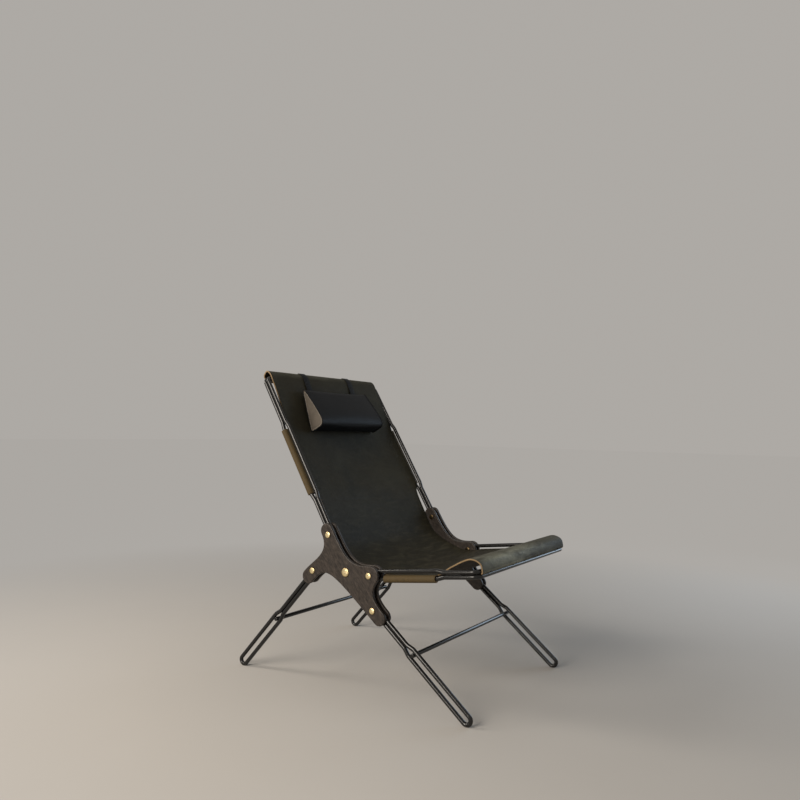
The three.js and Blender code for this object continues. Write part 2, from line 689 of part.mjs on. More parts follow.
// Straps: from the headrest's top edge over the top roll, then straight down to the counterweight
const STRAP_SHARE = STRAP_APART / 2 / SLING_HALF;
const CROWN_FROM = SLING_STOPS.findIndex(({ run, s }) => run === back && s > BACK_REACH - CROWN_RISE);
const CROWN_TO = SLING_STOPS.length - 3;

// The strap's two faces over the top roll, so far off the leather's middle layer
function overTop(offset) {
  const count = (CROWN_TO - CROWN_FROM) * SLING_STEPS + 1;
  return Array.from({ length: count }, (_, i) => {
    const t = (CROWN_FROM + i / SLING_STEPS) / (SLING_STOPS.length - 1);
    const { at, normal } = slingPoint(t, STRAP_SHARE);
    return new THREE.Vector2(at.y + normal.y * offset, at.z + normal.z * offset);
  });
}

const WEIGHT_TOP = back.at(BACK_REACH, 0).y - WEIGHT_DROP;
const strapInner = overTop(LEATHER / 2 + FIT);
const strapOuter = overTop(LEATHER / 2 + FIT + STRAP);
const STRAP_HANG = strapOuter.at(-1).x - STRAP / 2;

function strap(side) {
  const start = headrest.at(HEADREST_TOP.x + FIT, HEADREST_TOP.y);
  const across = headrest.across.clone().multiplyScalar(STRAP / 2);
  const end = WEIGHT_TOP + FIT;
  const outline = new THREE.Shape([
    start.clone().add(across),
    ...strapOuter,
    new THREE.Vector2(STRAP_HANG + STRAP / 2, end),
    new THREE.Vector2(STRAP_HANG - STRAP / 2, end),
    new THREE.Vector2(STRAP_HANG - STRAP / 2, strapInner.at(-1).y - STRAP),
    ...strapInner.slice().reverse(),
    start.clone().sub(across),
  ]);
  const geometry = new THREE.ExtrudeGeometry(outline, { depth: STRAP_WIDTH, steps: 1, bevelEnabled: false });
  geometry.applyMatrix4(SIDE_VIEW);
  return geometry.translate((side * STRAP_APART - STRAP_WIDTH) / 2, 0, 0);
}

function counterweight() {
  const width = STRAP_APART + STRAP_WIDTH + 2 * WEIGHT_LIP;
  const round = WEIGHT_THICK * 0.38;
  const shape = new THREE.Shape();
  const [halfThick, halfTall] = [WEIGHT_THICK / 2, WEIGHT_TALL / 2];
  shape.moveTo(-halfThick + round, -halfTall);
  shape.lineTo(halfThick - round, -halfTall);
  shape.quadraticCurveTo(halfThick, -halfTall, halfThick, -halfTall + round);
  shape.lineTo(halfThick, halfTall - round);
  shape.quadraticCurveTo(halfThick, halfTall, halfThick - round, halfTall);
  shape.lineTo(-halfThick + round, halfTall);
  shape.quadraticCurveTo(-halfThick, halfTall, -halfThick, halfTall - round);
  shape.lineTo(-halfThick, -halfTall + round);
  shape.quadraticCurveTo(-halfThick, -halfTall, -halfThick + round, -halfTall);
  const geometry = new THREE.ExtrudeGeometry(shape, { depth: width, bevelEnabled: false, curveSegments: 4 });
  geometry.applyMatrix4(SIDE_VIEW);
  return geometry.translate(-width / 2, STRAP_HANG, WEIGHT_TOP - halfTall);
}

// Frames
const screwHoles = SCREW_PLACES.map((place) => ({ place, tool: screwHole(place) }));
const holesIn = (end) => screwHoles.filter(({ place }) => place.name.includes(end)).map(({ tool }) => tool);
addPiece("back_frame", cut(frameLoop(back, BACK_REACH, backHalves()), holesIn("top")), blackSteel());
addPiece("seat_frame", cut(frameLoop(seat, SEAT_REACH, seatHalves()), holesIn("front")), blackSteel());

// Legs, plates, bolts and nuts, on each side
const SIDES = [
  { name: "right", side: -1 },
  { name: "left", side: 1 },
];
SIDES.forEach(({ name, side }) => {
  addPiece(`${name}_front_leg`, legLoop(frontLeg, side * FRAME_HALF, FRONT_STRETCHER_AT), blackSteel());
  addPiece(`${name}_rear_leg`, legLoop(rearLeg, side * FRAME_HALF, REAR_STRETCHER_AT), blackSteel());
  addPiece(`${name}_outer_plate`, plate(side, false), darkWood());
  addPiece(`${name}_inner_plate`, plate(side, true), darkWood());
  BOLTS.forEach(({ name: place, at, shank, head }) => {
    const boltX = side * (OUTER_FACE + FIT);
    addPiece(`${name}_${place}_bolt`, turned(boltProfile(shank, head), side, boltX, at), brass());
    addPiece(`${name}_${place}_nut`, turned(nutProfile(shank), -side, side * INNER_FACE, at), brass());
  });
  const bore = CENTRE_SHANK / 2 + FIT;
  const ring = [
    [bore, -ROD / 2],
    [bore + SPACER_WALL, -ROD / 2],
    [bore + SPACER_WALL, ROD / 2],
    [bore, ROD / 2],
    [bore, -ROD / 2],
  ];
  addPiece(`${name}_spacer`, turned(ring, side, side * FRAME_HALF, CENTRE_BOLT), blackSteel());
});

// Stretchers, with their round ends flush with the outside of the legs
[
  ["front_stretcher", frontLeg, FRONT_STRETCHER_AT],
  ["rear_stretcher", rearLeg, REAR_STRETCHER_AT],
].forEach(([name, run, s]) => {
  const bar = new THREE.CylinderGeometry(ROD / 2, ROD / 2, 2 * FRAME_HALF + ROD, TURN_SIDES);
  bar.rotateZ(Math.PI / 2);
  const at = run.at(s, 0);
  addPiece(name, bar.translate(0, at.x, at.y), blackSteel());
});

// Leather
addPiece("sling", sling(), oliveLeather());
SCREW_PLACES.forEach((place) => addPiece(place.name, screw(place), blackSteel()));
addPiece("headrest", headrestBody(), blackLeather());
SIDES.forEach(({ name, side }) => addPiece(`${name}_strap`, strap(side), blackLeather()));
addPiece("counterweight", counterweight(), blackLeather());

// The origin is on the floor, under the middle of the chair
const middle = new THREE.Box3().setFromObject(chair).getCenter(new THREE.Vector3());
chair.position.y = -middle.y;

export default chair;
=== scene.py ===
"""Looks of a sling lounge chair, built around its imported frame.

Metres, +Z up. The sitter faces -Y and has +X at the left hand.
"""

from __future__ import annotations

import json
import logging
import math
from dataclasses import dataclass, field
from enum import Enum
from typing import Any

import bmesh
import bpy
import numpy as np
from mathutils import Matrix, Vector, noise

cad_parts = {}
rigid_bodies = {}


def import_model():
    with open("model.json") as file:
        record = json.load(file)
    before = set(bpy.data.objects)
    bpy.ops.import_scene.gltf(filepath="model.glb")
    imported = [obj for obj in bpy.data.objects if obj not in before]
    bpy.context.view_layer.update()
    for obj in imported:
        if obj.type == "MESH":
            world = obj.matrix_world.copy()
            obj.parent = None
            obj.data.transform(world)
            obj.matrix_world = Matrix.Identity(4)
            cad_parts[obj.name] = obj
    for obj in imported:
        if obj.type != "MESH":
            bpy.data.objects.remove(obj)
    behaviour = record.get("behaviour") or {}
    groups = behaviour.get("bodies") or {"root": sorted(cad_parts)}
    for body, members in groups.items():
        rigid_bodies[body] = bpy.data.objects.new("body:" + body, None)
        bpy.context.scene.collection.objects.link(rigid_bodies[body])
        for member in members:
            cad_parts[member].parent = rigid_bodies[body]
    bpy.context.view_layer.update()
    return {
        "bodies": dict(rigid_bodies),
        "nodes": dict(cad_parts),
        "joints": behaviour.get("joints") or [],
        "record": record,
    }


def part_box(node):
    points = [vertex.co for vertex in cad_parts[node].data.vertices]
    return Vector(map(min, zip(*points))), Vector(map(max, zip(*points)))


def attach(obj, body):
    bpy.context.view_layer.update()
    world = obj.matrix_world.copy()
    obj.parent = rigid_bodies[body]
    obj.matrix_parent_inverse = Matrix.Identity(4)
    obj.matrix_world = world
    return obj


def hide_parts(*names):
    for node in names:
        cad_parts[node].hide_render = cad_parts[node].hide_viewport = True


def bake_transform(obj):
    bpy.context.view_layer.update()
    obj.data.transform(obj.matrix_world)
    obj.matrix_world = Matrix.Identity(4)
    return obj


MM = 0.001
QUARTER_TURN = math.pi / 2.0
FULL_TURN = 2.0 * math.pi
LOG = logging.getLogger("sling_chair")
Triple = tuple[float, float, float]
Colour = Triple
Faces = list[tuple[int, ...]]
Corners = list[tuple[np.ndarray, float]]
Halves = list[tuple[float, float]]
Material = bpy.types.Material
Piece = bpy.types.Object
Socket = bpy.types.NodeSocket


class Body(Enum):
    """Bodies of the frame that pieces ride on."""

    CHAIR = "chair"
    HEADREST = "headrest"
    WEIGHT = "counterweight"


class Slot(Enum):
    """Finishes of the record, one named for each piece."""

    ROD = "rod"
    WOOD = "plate_wood"
    BRASS = "brass"
    SLING = "sling_leather"
    HEADREST = "headrest_leather"
    WEIGHT = "weight"


class Side(Enum):
    """Sides of the chair, as the sitter sees them."""

    RIGHT = -1
    LEFT = 1

    @property
    def word(self) -> str:
        """The side's word in node names."""
        return self.name.lower()


# Node trees


class Nodes:
    """Short calls that fill one node tree."""

    def __init__(self, tree: bpy.types.NodeTree) -> None:
        """Keeps the tree that the calls fill."""
        self.tree = tree

    def feed(self, node: bpy.types.Node, inputs: dict[Any, Any]) -> bpy.types.Node:
        """Sets inputs of a node.

        Args:
            node: the node.
            inputs: values, or sockets to link from, by input name or number.

        Returns:
            The node.
        """
        for name, value in inputs.items():
            if isinstance(value, Socket):
                self.tree.links.new(value, node.inputs[name])
            else:
                node.inputs[name].default_value = value
        return node

    def add(self, kind: str, inputs: dict[Any, Any] | None = None, **settings: Any) -> bpy.types.Node:
        """Adds a node.

        Args:
            kind: the name of the node type.
            inputs: values, or sockets to link from, by input name or number.
            **settings: the node's own properties.

        Returns:
            The new node.
        """
        node = self.tree.nodes.new(kind)
        for name, value in settings.items():
            setattr(node, name, value)
        return self.feed(node, inputs or {})

    def math(self, operation: str, *values: Any) -> Socket:
        """A Math node's result for up to three values or sockets."""
        return self.add("ShaderNodeMath", dict(enumerate(values)), operation=operation).outputs[0]

    def times(self, first: Any, second: Any) -> Socket:
        """The product of two values or sockets."""
        return self.math("MULTIPLY", first, second)

    def mix(self, factor: Any, first: Any, second: Any, share: float = 1.0) -> Socket:
        """Mixes two colours.

        Args:
            factor: how much of the second colour shows.
            first: a colour or its socket.
            second: a colour or its socket.
            share: what the factor is multiplied by.

        Returns:
            The mixed colour.
        """
        first, second = ((*c, 1.0) if isinstance(c, tuple) else c for c in (first, second))
        factor = factor if share == 1.0 else self.times(factor, share)
        return self.add("ShaderNodeMix", {0: factor, 6: first, 7: second}, data_type="RGBA").outputs[2]

    def remap(self, value: Any, to_low: float, to_high: float, low: float = 0.0, high: float = 1.0) -> Socket:
        """Stretches the range of a value.

        Args:
            value: the value's socket.
            to_low: what low becomes.
            to_high: what high becomes.
            low: start of its range.
            high: end of its range.

        Returns:
            The stretched value, held inside its new range.
        """
        return self.add("ShaderNodeMapRange", {0: value, 1: low, 2: high, 3: to_low, 4: to_high}).outputs[0]

    def noise(self, vector: Any, scale: Any, detail: float, rough: float = 0.5, distortion: float = 0.0) -> Socket:
        """Adds a noise.

        Args:
            vector: where it is read.
            scale: how fine it is.
            detail: its number of finer layers.
            rough: how strong these are.
            distortion: how far it is stirred.

        Returns:
            Its value.
        """
        inputs = {"Vector": vector, "Scale": scale, "Detail": detail, "Roughness": rough, "Distortion": distortion}
        return self.add("ShaderNodeTexNoise", inputs).outputs[0]

    def stretch(self, vector: Any, scale: Triple, turn: Triple = (0.0, 0.0, 0.0)) -> Socket:
        """Turns a vector and then scales it.

        Args:
            vector: the vector's socket.
            scale: how much along each axis.
            turn: degrees about each axis.

        Returns:
            The new vector.
        """
        turned = self.add("ShaderNodeMapping", {"Vector": vector, "Rotation": [math.radians(d) for d in turn]})
        return self.add("ShaderNodeMapping", {"Vector": turned.outputs[0], "Scale": scale}).outputs[0]

    def attribute(self, name: str) -> Socket:
        """A number that the mesh carries."""
        return self.add("ShaderNodeAttribute", attribute_name=name).outputs["Fac"]

    def bump(self, height: Any, strength: float, distance: float) -> Socket:
        """A normal that follows a height."""
        inputs = {"Height": height, "Strength": strength, "Distance": distance}
        return self.add("ShaderNodeBump", inputs).outputs[0]

    def group(self, tree: bpy.types.NodeTree, vector: Any, size: float) -> Any:
        """The outputs of a shared group, placed with its own vector and size."""
        return self.add("ShaderNodeGroup", {0: vector, 1: size}, node_tree=tree).outputs


def shader_group(name: str, size: str, default: float, outputs: Any) -> tuple[Nodes, Any, bpy.types.Node]:
    """Starts a shader group that reads a vector and a size.

    Args:
        name: the group's name.
        size: the name of its size.
        default: the size where a finish gives none.
        outputs: names of its value outputs.

    Returns:
        The group's nodes, its input sockets and its output node.
    """
    tree = bpy.data.node_groups.new(name, "ShaderNodeTree")
    tree.interface.new_socket("Vector", in_out="INPUT", socket_type="NodeSocketVector")
    tree.interface.new_socket(size, in_out="INPUT", socket_type="NodeSocketFloat").default_value = default
    for word in outputs:
        tree.interface.new_socket(word, in_out="OUTPUT", socket_type="NodeSocketFloat")
    nodes = Nodes(tree)
    return nodes, nodes.add("NodeGroupInput").outputs, nodes.add("NodeGroupOutput")


class Effects:
    """Shader groups that several finishes share."""

    # Detail, roughness, distortion, and the low and high ends of each noise
    PATCHES = {"Broad": (5.0, 0.62, 0.6, 0.33, 0.67), "Fine": (6.0, 0.7, 0.0, 0.3, 0.7)}
    FIBRE = {"Streak": (4.0, 0.6, 0.35, 0.3, 0.7), "Hair": (3.0, 0.65, 0.0, 0.35, 0.65)}

    def __init__(self) -> None:
        """Builds each group once."""
        self.grain = self._leather_grain()
        self.patches = self._two_noises("handled_patches", 8.0, 14.0, self.PATCHES)
        self.fibre = self._two_noises("fibre", 1.0, 6.0, self.FIBRE)

    @staticmethod
    def _leather_grain() -> bpy.types.NodeTree:
        """Pebbles and pores of leather.

        Returns:
            A group that gives Height for bump and Pores as a mask.
        """
        nodes, given, result = shader_group("leather_grain", "Cells", 600.0, ("Height", "Pores"))
        vector = given["Vector"]
        wobble = nodes.add("ShaderNodeTexNoise", {"Vector": vector, "Scale": 260.0, "Detail": 2.0}).outputs["Color"]
        shift = nodes.add("ShaderNodeVectorMath", {0: wobble, "Scale": 1.2 * MM}, operation="SCALE").outputs[0]
        bent = nodes.add("ShaderNodeVectorMath", {0: vector, 1: shift}, operation="ADD").outputs[0]
        cells = {"Vector": bent, "Scale": given["Cells"], "Randomness": 1.0}
        walls = nodes.add("ShaderNodeTexVoronoi", cells, feature="DISTANCE_TO_EDGE").outputs["Distance"]
        pebble = nodes.remap(walls, 0.0, 1.0, 0.0, 0.22)
        height = nodes.math("MULTIPLY_ADD", nodes.noise(vector, 2600.0, 3.0), 0.35, pebble)
        nodes.feed(result, {"Height": height, "Pores": nodes.math("SUBTRACT", 1.0, pebble)})
        return nodes.tree

    @staticmethod
    def _two_noises(name: str, scale: float, finer: float, looks: dict[str, Any]) -> bpy.types.NodeTree:
        """A coarse noise and a fine one.

        Args:
            name: the group's name.
            scale: the coarse noise's scale where a finish gives none.
            finer: how many times finer the second noise is.
            looks: settings of each noise, by the name of its output.

        Returns:
            A group that gives both, each from 0 to 1.
        """
        nodes, given, result = shader_group(name, "Scale", scale, looks)
        sizes = (given["Scale"], nodes.times(given["Scale"], finer))
        for size, (word, (detail, rough, distortion, low, high)) in zip(sizes, looks.items()):
            value = nodes.noise(given["Vector"], size, detail, rough, distortion)
            nodes.feed(result, {word: nodes.remap(value, 0.0, 1.0, low, high)})
        return nodes.tree


# Finishes


def start_material(name: str) -> tuple[Material, Nodes, bpy.types.Node, Socket]:
    """Starts a material.

    Args:
        name: the material's name.

    Returns:
        The material, its nodes, its Principled BSDF and the place on the piece.
    """
    material = bpy.data.materials.new(name)
    material.use_nodes = True
    nodes = Nodes(material.node_tree)
    return material, nodes, nodes.tree.nodes["Principled BSDF"], nodes.add("ShaderNodeTexCoord").outputs["Object"]


@dataclass(frozen=True)
class SlingLeather:
    """Thick waxed leather, dark olive, browner in places, paler where it bends, with a painted highlight along the
    front roll and painted key light on the side sleeves.
    """

    dark: Colour = (0.0195, 0.0197, 0.0142)
    light: Colour = (0.0530, 0.0507, 0.0336)
    brown: Colour = (0.0370, 0.0260, 0.0125)
    pulled: Colour = (0.0680, 0.0590, 0.0360)
    seated: Colour = (0.0125, 0.0092, 0.0036)
    # Paler tone where the leather bends, also used as a painted highlight along the front roll
    bent: Colour = (0.6800, 0.6900, 0.5300)
    # Tan of the side sleeves: partly paling where wrapped, partly painted key light
    sleeve: Colour = (0.0980, 0.0650, 0.0270)
    cells: float = 640.0
    specular: float = 0.11

    def build(self, effects: Effects) -> Material:
        """Builds the grain side.

        Args:
            effects: the shared groups.

        Returns:
            The material.
        """
        material, nodes, shader, spot = start_material("sling_leather_grain")
        hide = nodes.add("ShaderNodeUVMap", uv_map="hide").outputs[0]
        grain = nodes.group(effects.grain, spot, self.cells)
        tone, cloud = (nodes.group(effects.patches, spot, size) for size in (3.4, 11.0))
        drawn = nodes.group(effects.patches, nodes.stretch(hide, (0.5, 1.7, 1.0)), 19.0)
        pull = nodes.group(effects.patches, nodes.stretch(hide, (1.1, 3.8, 1.0), (0.0, 0.0, 8.0)), 15.0)
        bend, edge, wear, sleeve = (nodes.attribute(name) for name in ("bend", "edge", "wear", "sleeve"))
        colour = nodes.mix(cloud["Broad"], self.dark, self.light, 0.8)
        colour = nodes.mix(tone["Broad"], colour, self.brown, 0.65)
        colour = nodes.mix(drawn["Fine"], colour, self.light, 0.3)
        colour = nodes.mix(nodes.remap(wear, 0.1, 0.75, 0.3, 1.0), colour, self.seated)
        marks = nodes.remap(pull["Broad"], 0.0, 0.7, 0.45, 1.0)
        colour = nodes.mix(nodes.times(wear, marks), colour, self.pulled)
        # Pale marks where the leather bends, which also paint a highlight along the front roll
        scuff = nodes.times(bend, nodes.remap(drawn["Broad"], 0.08, 1.0))
        scuff = nodes.times(scuff, nodes.remap(cloud["Fine"], 0.6, 1.0))
        colour = nodes.mix(scuff, colour, self.bent, 0.95)
        # Side sleeves turn tan: partly paling where wrapped, partly painted key light
        rubbed = nodes.remap(cloud["Fine"], 0.5, 1.0)
        colour = nodes.mix(nodes.times(sleeve, rubbed), colour, self.sleeve)
        colour = nodes.mix(grain["Pores"], colour, self.dark, 0.35)
        colour = nodes.mix(edge, colour, self.dark, 0.5)
        creases = nodes.noise(nodes.stretch(hide, (0.35, 1.0, 1.0)), 120.0, 4.0, 0.6, 0.8)
        height = nodes.math("MULTIPLY_ADD", creases, 0.9, grain["Height"])
        nodes.feed(shader, {
            "Base Color": colour,
            "Roughness": nodes.math("MULTIPLY_ADD", grain["Pores"], 0.12, nodes.remap(cloud["Fine"], 0.46, 0.62)),
            "Normal": nodes.bump(height, 0.35, 0.35 * MM),
            "Specular IOR Level": self.specular,
        })
        return material


@dataclass(frozen=True)
class NappedLeather:
    """Bare fibres of the sling's leather, on its back or along a cut."""

    name: str
    first: Colour
    second: Colour
    cloud: tuple[float, float]
    nap: float
    lines: tuple[str, float]
    rough: tuple[str, float, float]
    relief: tuple[float, float]
    specular: float

    def build(self, effects: Effects) -> Material:
        """Builds the fibres.

        Args:
            effects: the shared groups.

        Returns:
            The material.
        """
        material, nodes, shader, spot = start_material(self.name)
        cloud = nodes.group(effects.patches, spot, self.cloud[0])
        nap = nodes.group(effects.fibre, spot, self.nap)
        colour = nodes.mix(cloud["Broad"], self.first, self.second, self.cloud[1])
        colour = nodes.mix(nap[self.lines[0]], colour, self.second, self.lines[1])
        nodes.feed(shader, {
            "Base Color": colour,
            "Roughness": nodes.remap(nap[self.rough[0]], *self.rough[1:]),
            "Normal": nodes.bump(nap["Hair"], *self.relief),
            "Specular IOR Level": self.specular,
        })
        return material


@dataclass(frozen=True)
class SmoothLeather:
    """Thin upholstery leather, black with a cool sheen."""

    name: str = "headrest_leather"
    deep: Colour = (0.0024, 0.0029, 0.0037)
    worn: Colour = (0.0046, 0.0053, 0.0065)
    cells: float = 950.0
    specular: float = 0.15

    def build(self, effects: Effects) -> Material:
        """Builds the leather.

        Args:
            effects: the shared groups.

        Returns:
            The material.
        """
        material, nodes, shader, spot = start_material(self.name)
        grain = nodes.group(effects.grain, spot, self.cells)
        cloud = nodes.group(effects.patches, spot, 16.0)
        colour = nodes.mix(cloud["Broad"], self.deep, self.worn)
        nodes.feed(shader, {
            "Base Color": nodes.mix(grain["Pores"], colour, self.deep, 0.5),
            "Roughness": nodes.math("MULTIPLY_ADD", grain["Pores"], 0.1, nodes.remap(cloud["Fine"], 0.44, 0.56)),
            "Normal": nodes.bump(grain["Height"], 0.28, 0.18 * MM),
            "Specular IOR Level": self.specular,
        })
        return material


@dataclass(frozen=True)
class CheekWood:
    """Dark oiled hardwood, with its grain along the plate's long diagonal."""

    dark: Colour = (0.0080, 0.0060, 0.0050)
    mid: Colour = (0.0140, 0.0107, 0.0086)
    pale: Colour = (0.0800, 0.0630, 0.0510)
    grain_turn: float = -50.7
    specular: float = 0.30

    def build(self, effects: Effects) -> Material:
        """Builds the wood.

        Args:
            effects: the shared groups.

        Returns:
            The material.
        """
        material, nodes, shader, spot = start_material("cheek_wood")
        figure, pores, ripples = (
            nodes.stretch(spot, scale, (self.grain_turn, 0.0, 0.0))
            for scale in ((160.0, 60.0, 200.0), (380.0, 40.0, 520.0), (1.0, 0.16, 1.0))
        )
        wave = {"Vector": ripples, "Scale": 46.0, "Distortion": 14.0, "Detail": 4.0, "Detail Scale": 2.2}
        waved = nodes.add("ShaderNodeTexWave", wave, bands_direction="Z").outputs["Fac"]
        cloud = nodes.group(effects.patches, spot, 22.0)
        open_pore = nodes.remap(nodes.group(effects.fibre, pores, 1.0)["Streak"], 0.0, 1.0, 0.55, 0.85)
        colour = nodes.mix(nodes.group(effects.fibre, figure, 1.0)["Streak"], self.mid, self.pale)
        colour = nodes.mix(waved, colour, self.dark, 0.15)
        colour = nodes.mix(cloud["Fine"], colour, self.dark, 0.7)
        relief = nodes.math("MULTIPLY_ADD", waved, -0.25, nodes.math("SUBTRACT", 1.0, open_pore))
        nodes.feed(shader, {
            "Base Color": nodes.mix(open_pore, colour, self.dark, 0.7),
            "Roughness": nodes.math("MULTIPLY_ADD", open_pore, 0.15, nodes.remap(cloud["Broad"], 0.34, 0.46)),
            "Normal": nodes.bump(relief, 0.22, 0.16 * MM),
            "Specular IOR Level": self.specular,
        })
        return material


@dataclass(frozen=True)
class RodPaint:
    """Black lacquer on steel rod, with handling marks."""

    black: Colour = (0.0036, 0.0035, 0.0034)
    rubbed: Colour = (0.0060, 0.0057, 0.0053)

    def build(self, effects: Effects) -> Material:
        """Builds the lacquer.

        Args:
            effects: the shared groups.

        Returns:
            The material.
        """
        material, nodes, shader, spot = start_material("rod_lacquer")
        marks = nodes.group(effects.patches, spot, 18.0)["Broad"]
        rough = nodes.remap(marks, 0.19, 0.23)
        nodes.feed(shader, {"Base Color": nodes.mix(marks, self.black, self.rubbed), "Roughness": rough})
        return material


@dataclass(frozen=True)
class TurnedBrass:
    """Turned brass with fine tool rings, a little tarnish, and painted shade darkening the rim of each head."""

    name: str = "turned_brass"
    clean: Colour = (0.880, 0.735, 0.430)
    tarnish: Colour = (0.470, 0.300, 0.120)
    # Painted shade towards the rim of each head
    worn: Colour = (0.130, 0.080, 0.032)
    ring_pitch: float = 0.42 * MM

    def build(self, effects: Effects) -> Material:
        """Builds the brass.

        Args:
            effects: the shared groups.

        Returns:
            The material.
        """
        material, nodes, shader, spot = start_material(self.name)
        rings = nodes.math("SINE", nodes.times(nodes.attribute("turn"), FULL_TURN / self.ring_pitch))
        cloud = nodes.group(effects.patches, spot, 60.0)
        colour = nodes.mix(cloud["Broad"], self.clean, self.tarnish, 0.3)
        # Darker towards the outer rim of each head: painted shade
        rim = nodes.remap(nodes.attribute("rim"), 0.0, 0.9, 0.68, 0.95)
        nodes.feed(shader, {
            "Base Color": nodes.mix(rim, colour, self.worn),
            "Roughness": nodes.remap(cloud["Fine"], 0.24, 0.38),
            "Normal": nodes.bump(rings, 0.35, 0.05 * MM),
            "Metallic": 1.0,
        })
        return material


@dataclass(frozen=True)
class WaxedThread:
    """Twisted sewing thread."""

    name: str
    pale: Colour
    dark: Colour

    def build(self, effects: Effects) -> Material:
        """Builds the thread.

        Args:
            effects: the shared groups.

        Returns:
            The material.
        """
        material, nodes, shader, spot = start_material(self.name)
        ply = nodes.group(effects.fibre, spot, 900.0)
        rough = nodes.remap(ply["Hair"], 0.5, 0.7)
        nodes.feed(shader, {"Base Color": nodes.mix(ply["Streak"], self.pale, self.dark), "Roughness": rough})
        return material


class Finishes:
    """All materials of the chair."""

    def __init__(self) -> None:
        """Builds each material once."""
        effects = Effects()
        flesh = NappedLeather(
            "sling_leather_flesh", (0.012, 0.009, 0.007), (0.035, 0.026, 0.018), cloud=(11.0, 1.0), nap=420.0,
            lines=("Hair", 0.4), rough=("Streak", 0.78, 0.95), relief=(0.5, 0.4 * MM), specular=0.25,
        )
        edge = NappedLeather(
            "sling_leather_edge", (0.230, 0.150, 0.068), (0.105, 0.066, 0.030), cloud=(30.0, 0.6), nap=700.0,
            lines=("Streak", 0.35), rough=("Hair", 0.55, 0.75), relief=(0.4, 0.2 * MM), specular=0.5,
        )
        # Paler copy of the black headrest leather for the end panels: painted key light
        end = SmoothLeather("headrest_end_leather", (0.076, 0.065, 0.053), (0.130, 0.112, 0.092))
        # Much darker brass for the barrel nuts
        dark_nut_brass = TurnedBrass("dull_brass", (0.065, 0.052, 0.032), (0.030, 0.022, 0.014))
        olive = WaxedThread("olive_thread", (0.030, 0.028, 0.020), (0.018, 0.017, 0.012))
        grey = WaxedThread("grey_thread", (0.560, 0.500, 0.420), (0.380, 0.335, 0.275))
        self.grain: Material = SlingLeather().build(effects)
        self.flesh: Material = flesh.build(effects)
        self.edge: Material = edge.build(effects)
        self.black: Material = SmoothLeather().build(effects)
        self.end: Material = end.build(effects)
        self.wood: Material = CheekWood().build(effects)
        self.rod: Material = RodPaint().build(effects)
        self.brass: Material = TurnedBrass().build(effects)
        self.dull_brass: Material = dark_nut_brass.build(effects)
        self.olive_thread: Material = olive.build(effects)
        self.grey_thread: Material = grey.build(effects)


# Meshes


def mesh_piece(name: str, points: Any, faces: Any, *materials: Material, edges: Any = ()) -> Piece:
    """Makes a smooth mesh object.

    Args:
        name: the piece's name.
        points: its vertices.
        faces: vertex numbers of each face.
        *materials: its material slots.
        edges: vertex numbers of each loose edge.

    Returns:
        The object, linked to the scene.
    """
    mesh = bpy.data.meshes.new(name)
    mesh.from_pydata([tuple(map(float, p)) for p in points], edges, [tuple(map(int, f)) for f in faces])
    mesh.update()
    mesh.shade_smooth()
    for material in materials:
        mesh.materials.append(material)
    piece = bpy.data.objects.new(name, mesh)
    bpy.context.scene.collection.objects.link(piece)
    return piece


def make_plain(piece: Piece) -> None:
    """Turns what a piece's modifiers make into its own mesh.

    Args:
        piece: the piece, which loses its modifiers.
    """
    bpy.context.view_layer.update()
    graph = bpy.context.evaluated_depsgraph_get()
    made = bpy.data.meshes.new_from_object(piece.evaluated_get(graph), preserve_all_data_layers=True, depsgraph=graph)
    old = piece.data
    piece.modifiers.clear()
    piece.data = made
    made.name = piece.name
    bpy.data.meshes.remove(old)


def outwards(piece: Piece) -> None:
    """Turns the faces of a closed mesh outwards.

    Args:
        piece: the piece.
    """
    work = bmesh.new()
    work.from_mesh(piece.data)
    bmesh.ops.recalc_face_normals(work, faces=work.faces)
    work.to_mesh(piece.data)
    work.free()


def set_attribute(mesh: bpy.types.Mesh, name: str, values: np.ndarray) -> None:
    """Writes a number or a vector for each vertex.

    Args:
        mesh: the mesh.
        name: the attribute's name.
        values: a number or a row for each vertex.
    """
    kind, key = ("FLOAT", "value") if values.ndim == 1 else ("FLOAT_VECTOR", "vector")
    layer = mesh.attributes.new(name, kind, "POINT")
    layer.data.foreach_set(key, values.astype(np.float32).ravel())


def settle(piece: Piece, body: Body, slot: Slot, *nodes: str) -> Piece:
    """Puts a piece on its body.

    Args:
        piece: the finished piece.
        body: what it rides on.
        slot: the record's finish for it; not used.
        *nodes: frame nodes that it stands for.

    Returns:
        The piece.
    """
    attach(piece, body.value)
    if nodes:
        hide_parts(*nodes)
    LOG.info("%s: %d faces on %s", piece.name, len(piece.data.polygons), body.value)
    return piece


def unit(vectors: np.ndarray) -> np.ndarray:
    """A vector, or each of several, scaled to length 1."""
    return vectors / np.linalg.norm(vectors, axis=-1, keepdims=True)


def walked(line: np.ndarray) -> np.ndarray:
    """The distance of each point of a line from its start."""
    return np.concatenate([[0.0], np.cumsum(np.linalg.norm(np.diff(line, axis=0), axis=1))])


def eased(share: float) -> float:
    """A share from 0 to 1 that starts and ends gently."""
    return share * share * (3.0 - 2.0 * share)


def hump(values: np.ndarray, middle: float, width: float) -> np.ndarray:
    """A bell of height 1 round a middle."""
    return np.exp(-(((values - middle) / width) ** 2))


def ramp(values: Any, start: float, width: float) -> Any:
    """0 up to a start, and 1 from a width past it on."""
    return np.clip((values - start) / width, 0.0, 1.0)


def bezier(control: Any, places: np.ndarray) -> np.ndarray:
    """Points of a Bezier curve.

    Args:
        control: its control points.
        places: shares of the way along it, from 0 to 1.

    Returns:
        The points.
    """
    spots = np.array(control)
    last = len(spots) - 1
    weights = [math.comb(last, k) * places**k * (1.0 - places) ** (last - k) for k in range(last + 1)]
    return np.stack(weights, 1) @ spots


